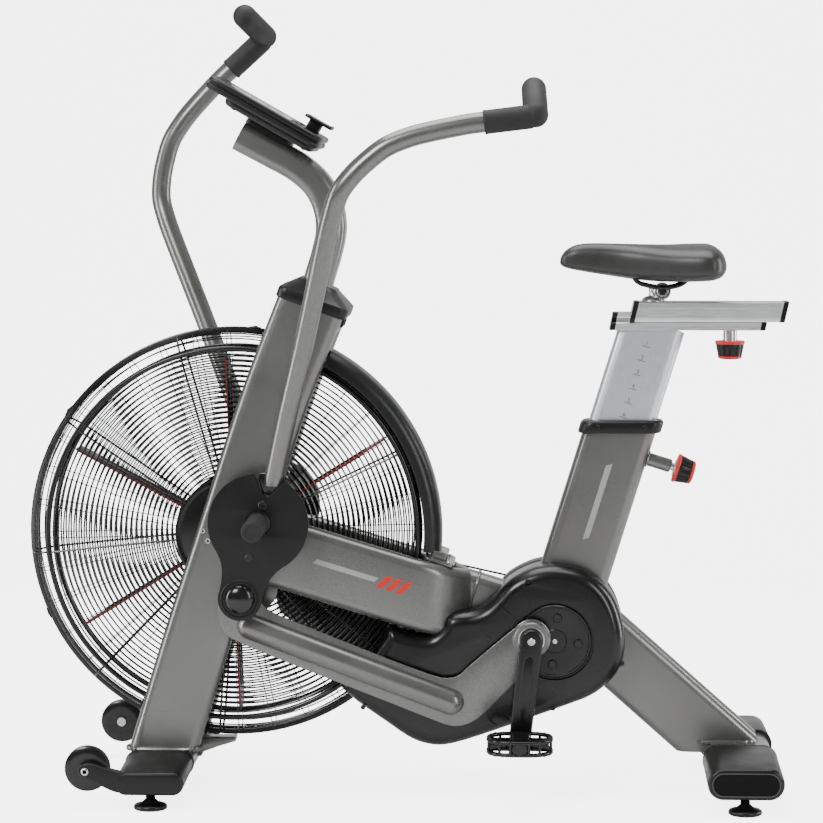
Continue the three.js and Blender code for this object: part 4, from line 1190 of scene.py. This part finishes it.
def make_console():
    outline = soften([
        (-113, -88), (-101, -100), (101, -100), (113, -88), (113, 88), (101, 100), (-101, 100), (-113, 88),
    ])
    window = shifted(rounded(131, 161, 7, 6), -22)
    wells = [circle((BUTTON_ALONG, y), 8.8, 32) for y in BUTTONS_ACROSS]
    body = Shape().slab(outline, 3, 13, 4, [window] + wells, CONSOLE)
    body.slab(outline, -9, 2.6, 6, place=CONSOLE, edge0=6)
    body.slab(inset(outline, 3), 2, 4, 0.2, place=CONSOLE, steps=1)
    body.slab(shifted(rounded(133, 163, 8, 6), -22), 6, 9, 0.2, place=CONSOLE, steps=1)
    for y in BUTTONS_ACROSS:
        well = CONSOLE @ Matrix.Translation((BUTTON_ALONG, y, 0))
        body.lathe(well, [(9.4, 4), (9.4, 12), (10.6, 13.6), (11.4, 13.4), (11.6, 12.4)], 40)
    belly = shifted(rounded(175, 170, 20, 5), 17.5)
    body.slab(belly, -20, -7, 4, place=CONSOLE, edge0=9)
    body.slab(shifted(rounded(90, 60, 8, 4), 20), -32, -18, 1, place=CONSOLE)
    for u in (-50, 88):
        for v in (-70, 70):
            place = CONSOLE @ Matrix.Translation((u, v, -19.6)) @ Matrix.Rotation(math.pi, 4, "X")
            bolt(body.use(1), place, 4, 1.6)
    body.use(0)
    piece("console_housing", body, [black, dark_steel, black])


def make_screen():
    pane = Shape().slab(shifted(rounded(130, 160, 6, 6), -22), 9.3, 12.6, 0.8, place=CONSOLE)
    pane.use(1)
    for i, width in enumerate((96, 60, 60, 96)):
        pane.slab(shifted(rounded(10, width, 2, 3), 26 * i - 60), 12.5, 12.75, 0.1, place=CONSOLE, steps=1)
    segment, *_ = new_look("screen_segments", (0.16, 0.18, 0.17), 0.25)
    piece("console_screen", pane, [screen_black, segment])


def make_buttons():
    for i, y in enumerate(BUTTONS_ACROSS, 1):
        place = CONSOLE @ Matrix.Translation((BUTTON_ALONG, y, 0))
        button = Shape().lathe(place, [
            (8, 8), (8, 13.6), (7.4, 14.7), (5.6, 15), (3, 14.6), (TIP, 14.5),
        ], 40)
        name = f"console_button_{i}"
        piece(name, button, gloss_black, f"button_{i}")


def make_holder():
    shelf = Shape().slab(shifted(rounded(52, 70, 7, 5), 86), 30, 35.4, 1.6, place=CONSOLE)
    shelf.slab(shifted(rounded(5, 68, 2.4, 4), 109.5), 31, 37, 1.4, place=CONSOLE)
    for v in (-15, 0, 15):
        shelf.slab(shifted(rounded(24, 8, 2.5, 4), 82, v), 13.4, 31, 0.6, place=CONSOLE)
    piece("device_holder", shelf, black)


# -------------------------------------------------------------------- seat


def seat_section(distance, height, width, corner, grow=0):
    """A level ring round the leaning seat tube, at the given height above the floor."""
    x = CRANK[0] + (height - CRANK[1]) * math.tan(SEAT_LEAN)
    long = (width + 2 * grow) / math.cos(SEAT_LEAN)
    return [Vector((x + u, v, height)) for v, u in rounded(distance + 2 * grow, long, corner, 8)]


def make_collar():
    rings = []
    for height, grow in (
        (629.5, -2.5), (630.5, -0.6), (632, 0), (645, 0), (648, -0.8), (650.6, -3), (652, -7),
    ):
        rings.append(seat_section(70, height, 138.5, 22 + grow, grow))
    rings.append(seat_section(43, 652, 115.5, 19))
    rings.append(seat_section(43, 646, 115.5, 19))
    collar = Shape().rings(rings)
    for x in (-66, 66):
        centre = CRANK[0] + (641 - CRANK[1]) * math.tan(SEAT_LEAN)
        bolt(collar.use(1), axes((centre + x * 0.62, -35, 641), (1, 0, 0), (0, 0, 1), (0, -1, 0)), 4, 1.6)
    piece("seat_collar", collar, [black, dark_steel, black])


def add_text(shape, text, place, size):
    """Raises a line of text a little above a face."""
    curve = bpy.data.curves.new("print", "FONT")
    curve.body = text
    curve.size = size
    curve.extrude = 0.1
    curve.align_x = "CENTER"
    curve.align_y = "CENTER"
    holder = bpy.data.objects.new("print", curve)
    bpy.context.scene.collection.objects.link(holder)
    bpy.context.view_layer.update()
    mesh = bpy.data.meshes.new_from_object(holder.evaluated_get(bpy.context.evaluated_depsgraph_get()))
    shape.add([place @ v.co for v in mesh.vertices], [list(f.vertices) for f in mesh.polygons])
    bpy.data.objects.remove(holder)
    bpy.data.curves.remove(curve)
    bpy.data.meshes.remove(mesh)


RAIL_TILT = Vector((5.9, 0, 30.4)).normalized()


def rail_end(shape, x, sign):
    """Cuts a rail off along a slanted line that leaves its top at x; sign is 1 for its rear end."""
    return shape.keep((x, 0, 823.3), (sign * RAIL_TILT.z, 0, -sign * RAIL_TILT.x))


def make_post():
    post = Shape().sweep(rounded(41, POST_DEPTH, 18, 8), [along_seat(178), along_seat(575)], "y")
    post.keep((0, 0, 522), (0, 0, -1))
    post.keep((0, 0, 811), (0, 0, 1))
    for i in range(6):
        centre = along_seat(409 + 26 * i) + Vector((0, -20.5, 0))
        face = axes(centre - SEAT_BACK * 1.5, SEAT_BACK, SEAT_UP, (0, -1, 0))
        post.use(1).slab(shifted(rounded(14, 1.1, 0.5, 2), 0, -5.6), -0.4, 0.12, 0.05, place=face, steps=1)
        add_text(post, str(6 - i), face, 11)
    place = axes((0, 0, 816.5), (0, 1, 0), (0, 0, 1), (1, 0, 0))
    flange = rounded_rail(54, 14)
    head = shifted(rounded(44, 10, 2.5, 3), 0, 18.6)
    neck = shifted(rounded(24, 10, 1, 2), 0, 11)
    for section, edge in ((flange, 0.4), (neck, 0.2), (head, 0.4)):
        capped = [(u * 1.01, v) for u, v in section]
        for look, form, low, high in (
            (2, section, 366, 619), (3, capped, 357.5, 366.4), (3, capped, 618.6, 628),
        ):
            bar = Shape().use(look).slab(form, 340, 650, edge, place=place, steps=1)
            post.join(rail_end(rail_end(bar, low, -1), high, 1))
    piece("seat_post", post, [post_grey, print_and_highlight_grey, aluminium, black], "post")


def rounded_rail(width, height):
    """A rail section with two shallow grooves along each side."""
    half, tall = width / 2, height / 2
    right = [
        (half, -tall + 2), (half, -2.2), (half - 1.2, -1.6), (half - 1.2, 0.4), (half, 1),
        (half, tall - 2), (half - 2, tall),
    ]
    left = [(-u, v) for u, v in reversed(right)]
    return [(half - 2, -tall)] + right + left + [(-half + 2, -tall)]


def make_carriage():
    half = 30
    right = [
        (half - 3, -17.4), (half - 0.8, -16.8), (half, -14.6), (half, -8.4), (half - 1.3, -7.6),
        (half - 1.3, -5.4), (half, -4.6), (half, 3.2), (half - 1.3, 4), (half - 1.3, 6.2),
        (half, 7), (half, 13.8), (half - 1, 16.4), (half - 3.4, 17.4),
    ]
    section = right + [(-u, v) for u, v in reversed(right)]
    place = axes((0, 0, 841.6), (0, 1, 0), (0, 0, 1), (1, 0, 0))
    tilt = Vector((34.8, 0, 7.75)).normalized()

    def ends(shape, low, high):
        shape.keep((low, 0, 859), (-tilt.x, 0, tilt.z))
        return shape.keep((high, 0, 859), (tilt.x, 0, -tilt.z))

    body = ends(Shape().slab(section, 375, 680, 0.2, place=place, steps=1), 405.5, 657.5)
    capped = [(u * 1.015, v * 1.03) for u, v in section]
    for low, high in ((397, 405.9), (657.1, 666)):
        body.join(ends(Shape().use(1).slab(capped, 370, 685, 0.2, place=place, steps=1), low, high))
    piece("seat_carriage", body, [aluminium, black], "carriage")


def bolt_axis(sign):
    return axes((TILT[0], 0, TILT[1]), (1, 0, 0), (0, 0, 1), (0, sign, 0))


def make_clamp():
    up = Matrix.Translation((431, 0, 0))
    clamp = Shape().lathe(up, [
        (20, 859.4), (20.4, 860.6), (19.4, 863), (16.4, 865.8), (12, 867.6), (8.4, 868.6),
        (7.5, 870.4), (7.5, 884),
    ], 56)
    clamp.lathe(bolt_axis(1), [
        (14.8, -12), (14.8, 12), (13.6, 13), (6, 13), (6, -13), (13.6, -13), (14.8, -12),
    ], 56)
    for sign in (-1, 1):
        outer = bolt_axis(sign)
        clamp.use(1).lathe(outer, [(12, 12.6), (12, 13.2), (10.6, 13.2), (10.6, 12.6)], 48)
        clamp.use(0).lathe(outer, [(10.4, 12.6), (10.4, 15), (9.4, 15.8), (7.4, 15.8), (7.4, 15)], 48)
        clamp.use(1).lathe(outer, [(7.2, 14.6), (7.2, 16.4), (6.4, 17), (TIP, 17)], 6)
    arm = axes((439, 0, 880.6), (8, 0, -2), (0, 1, 0), (2, 0, 8))
    clamp.use(0).slab(rounded(22, 18, 4, 4), -6, 6, 1.4, place=arm)
    piece("saddle_clamp", clamp, [steel, dark_steel], "carriage")


def smooth_table(table):
    """A dense table along a smooth curve through the given (x, value) pairs."""
    return [(p.x, p.y) for p in curve_through([(x, v, 0) for x, v in table], 10)]


def profile_at(table, x):
    for (x0, v0), (x1, v1) in zip(table, table[1:]):
        if x <= x1:
            return v0 + (v1 - v0) * (x - x0) / max(x1 - x0, 1e-6)
    return table[-1][1]


SADDLE_TOP = smooth_table([
    (268, 927), (270, 936), (276, 945.5), (288, 954), (306, 959.5), (336, 961.5), (379, 960.5),
    (452, 958.5), (501, 960), (528, 959), (543, 952), (553, 940), (558, 925),
])
SADDLE_LOW = smooth_table([
    (268, 926), (271, 921), (279, 917), (307, 911), (355, 903.5), (404, 896.5), (453, 893.5), (505, 894),
    (535, 896.5), (548, 902), (555, 911), (558, 922),
])
SADDLE_HALF = smooth_table([
    (268, 3), (270, 10), (277, 17), (290, 22), (320, 26), (350, 30), (380, 36.5), (410, 48),
    (440, 64), (470, 80), (500, 92), (520, 96.5), (535, 95), (546, 84), (553, 62), (557, 34),
    (558, 10),
])


def make_saddle():
    rings = []
    for i in range(73):
        x = 268 + 290 * (0.5 - 0.5 * math.cos(math.pi * i / 72))
        half = max(profile_at(SADDLE_HALF, x), 2)
        top = profile_at(SADDLE_TOP, x)
        low = min(profile_at(SADDLE_LOW, x), top - 1)
        middle = (low + top) / 2
        tall = (top - low) / 2
        ring = []
        for k in range(64):
            angle = 2 * math.pi * k / 64
            c, s = math.cos(angle), math.sin(angle)
            y = half * math.copysign(abs(c) ** 0.78, c)
            lift = math.copysign(abs(s) ** (0.66 if s > 0 else 0.42), s)
            across = min(1, abs(y) / max(half, 1))
            drop = 5 * across * across * min(1, half / 60) if s > 0 else 0
            groove = 3 * math.exp(-((y / 9) ** 2)) * min(1, max(0, (x - 300) / 60)) if s > 0 else 0
            ring.append(Vector((x, y, middle + tall * lift - drop * 0.6 - groove)))
        rings.append(ring)
    cushion = piece("saddle_pad", Shape().rings(rings), vinyl, "saddle", sharp=75, node="saddle")
    rails = Shape()
    for y in (-24, 24):
        path = curve_through([
            (390, y, 915), (402, y, 894), (424, y, 886), (447, y, 883.5), (470, y, 886),
            (486, y, 894), (497, y, 914),
        ], 8)
        rails.tube(path, 3.6, 20)
    piece("saddle_rails", rails, dark_steel, "saddle")


def knob(place):
    """A fluted knob with a red ring at each end, its small end away from the tube."""
    shape = Shape().use(1).lathe(place, [(18, 0), (24.2, 0), (25, 0.8), (25, 5.2), (24.2, 6), (18, 6)], 72)
    shape.use(0).lathe(place, [
        (17, 5.6, 1), (23.4, 5.8, 1), (23.6, 7.5), (22.8, 13), (21.6, 19), (20.8, 24), (20.4, 27.5),
        (19, 28.4, 1), (14, 28.4, 1),
    ], 144, 12, 2.2)
    shape.use(1).lathe(place, [
        (12, 27.8), (19.4, 27.8), (20.4, 28.8), (20.4, 31), (19.2, 32.4), (17, 32.8),
    ], 72)
    shape.use(0).lathe(place, [(17.4, 32), (16.8, 33.4), (13, 34.3), (TIP, 34.3)], 56)
    return shape


def make_knobs():
    place = facing(pin_point(112.6), SEAT_BACK)
    pin = knob(place @ Matrix.Diagonal((1.02, 1.02, 1, 1)))
    rod = facing(pin_point(0), SEAT_BACK)
    pin.use(2).lathe(rod, [
        (4.6, 58.5), (4.6, 104.6), (7, 104.8), (7, 110.4), (15, 110.6), (16, 111.6), (16, 113),
    ], 32)
    piece("seat_pin_knob", pin, [black, red, steel], "seat_pin_knob")
    place = facing(Vector((565.5, 0, 790.2)), (0, 0, -1))
    rail = knob(place @ Matrix.Diagonal((1.04, 1.04, 32.2 / 34.3, 1)))
    rail.use(2).lathe(Matrix.Translation((565.5, 0, 0)), [(12, 788), (12, 809.2)], 32)
    piece("rail_knob", rail, [black, red, steel], "rail_knob")


# --------------------------------------------------------------- inner parts


def dress_inner_parts():
    """The shaft, belt and pulley stay as the frame has them, and get their finishes."""
    for node, look, slot in (("fan_shaft", steel, "steel"), ("drive_pulley", aluminium, "aluminium"),
                             ("drive_belt", rubber, "rubber")):
        obj = frame["nodes"][node]
        for i in range(len(obj.data.materials)):
            obj.data.materials[i] = look


for make in (
    make_masts, make_beams, make_seat_tube, make_rear_leg, make_bridge, make_stabilizers, make_rear_caps,
    make_front_caps, make_wheels, make_feet, make_guards, make_fan, make_fender, make_casing, make_spindle,
    make_crank_arms, make_pedals, make_links, make_arms, make_arm_covers, make_grips, make_pegs, make_top_cap,
    make_console_mast, make_console, make_screen, make_buttons, make_holder, make_collar, make_post,
    make_carriage, make_clamp, make_saddle, make_knobs, dress_inner_parts,
):
    make()


# -------------------------------------------------------------------- stage

# The stage is in metres. Its glow is for the camera alone: the lights see a dim one.
STAGE_GLOW = 4.4
STAGE_HALF = 9
STAGE_FLAT = 2.4
STAGE_BEND = 1.6
STAGE_TOP = 8


def make_stage():
    """A floor that bends up into a back wall. It is clear when seen from behind."""
    white, tree, shader = new_look("stage_white", (0.85, 0.85, 0.85), 0.9, shine=0.1)
    shader.inputs["Emission Color"].default_value = (1, 1, 1, 1)
    vary(tree, add_node(tree, "LightPath"), 0.0, STAGE_GLOW, shader.inputs["Emission Strength"], 0, 1)
    side, clear, mix = (add_node(tree, kind) for kind in ("NewGeometry", "BsdfTransparent", "MixShader"))
    tree.links.new(side.outputs["Backfacing"], mix.inputs[0])
    tree.links.new(shader.outputs["BSDF"], mix.inputs[1])
    tree.links.new(clear.outputs["BSDF"], mix.inputs[2])
    output = next(node for node in tree.nodes if node.type == "OUTPUT_MATERIAL")
    tree.links.new(mix.outputs["Shader"], output.inputs["Surface"])
    points = []
    for x in (-STAGE_HALF, STAGE_HALF):
        points += [(x, -STAGE_HALF, 0), (x, STAGE_FLAT, 0)]
        points += [(x, STAGE_FLAT + u, STAGE_BEND + v) for u, v in arc((0, 0), STAGE_BEND, -90, 0, 12)[1:]]
        points.append((x, STAGE_FLAT + STAGE_BEND, STAGE_TOP))
    count = len(points) // 2
    faces = [[i, count + i, count + i + 1, i + 1] for i in range(count - 1)]
    mesh = bpy.data.meshes.new("stage")
    mesh.from_pydata(points, [], faces)
    mesh.shade_smooth()
    mesh.materials.append(white)
    stage = bpy.data.objects.new("stage", mesh)
    bpy.context.scene.collection.objects.link(stage)


def area_light(name, place, target, size, tall, power):
    light = bpy.data.lights.new(name, "AREA")
    light.shape = "RECTANGLE"
    light.size = size
    light.size_y = tall
    light.energy = power
    obj = bpy.data.objects.new(name, light)
    obj.location = place
    obj.rotation_euler = (Vector(target) - Vector(place)).to_track_quat("-Z", "Y").to_euler()
    bpy.context.scene.collection.objects.link(obj)


def make_lights():
    world = bpy.data.worlds.new("studio")
    world.use_nodes = True
    tree = world.node_tree
    sky = tree.nodes["Background"]
    sky.inputs["Color"].default_value = (1, 1, 1, 1)
    vary(tree, add_node(tree, "LightPath"), 0.2, STAGE_GLOW, sky.inputs["Strength"], 0, 1)
    bpy.context.scene.world = world
    area_light("key", (-2.0, -3.0, 3.0), (-0.1, 0, 0.6), 1.4, 1.4, 130)
    area_light("fill", (2.8, -2.6, 1.6), (0, 0, 0.6), 0.7, 2.4, 55)
    area_light("top", (0, 0.2, 3.2), (0, 0, 0.4), 2.4, 2.4, 110)
    area_light("left_strip", (-3.2, -0.6, 1.2), (-0.2, 0, 0.6), 0.5, 2.4, 60)
    area_light("right_strip", (3.2, 0.6, 1.2), (0.2, 0, 0.6), 0.5, 2.4, 60)


CAMERA_AT = (0.244875, -5.337, 1.134225)
CAMERA_YAW = -2.534 * DEG
CAMERA_PITCH = -5.031 * DEG
CAMERA_LENS = 133.4


def make_camera():
    yaw, pitch = CAMERA_YAW, CAMERA_PITCH
    forward = Vector((math.sin(yaw) * math.cos(pitch), math.cos(yaw) * math.cos(pitch), math.sin(pitch)))
    right = Vector((math.cos(yaw), -math.sin(yaw), 0))
    up = right.cross(forward)
    camera = bpy.data.cameras.new("camera")
    camera.sensor_width = 36
    camera.lens = CAMERA_LENS
    camera.clip_end = 50
    obj = bpy.data.objects.new("camera", camera)
    turn = Matrix((right, up, -forward)).transposed().to_4x4()
    obj.matrix_world = Matrix.Translation(CAMERA_AT) @ turn
    bpy.context.scene.collection.objects.link(obj)
    bpy.context.scene.camera = obj


make_stage()
make_lights()
make_camera()
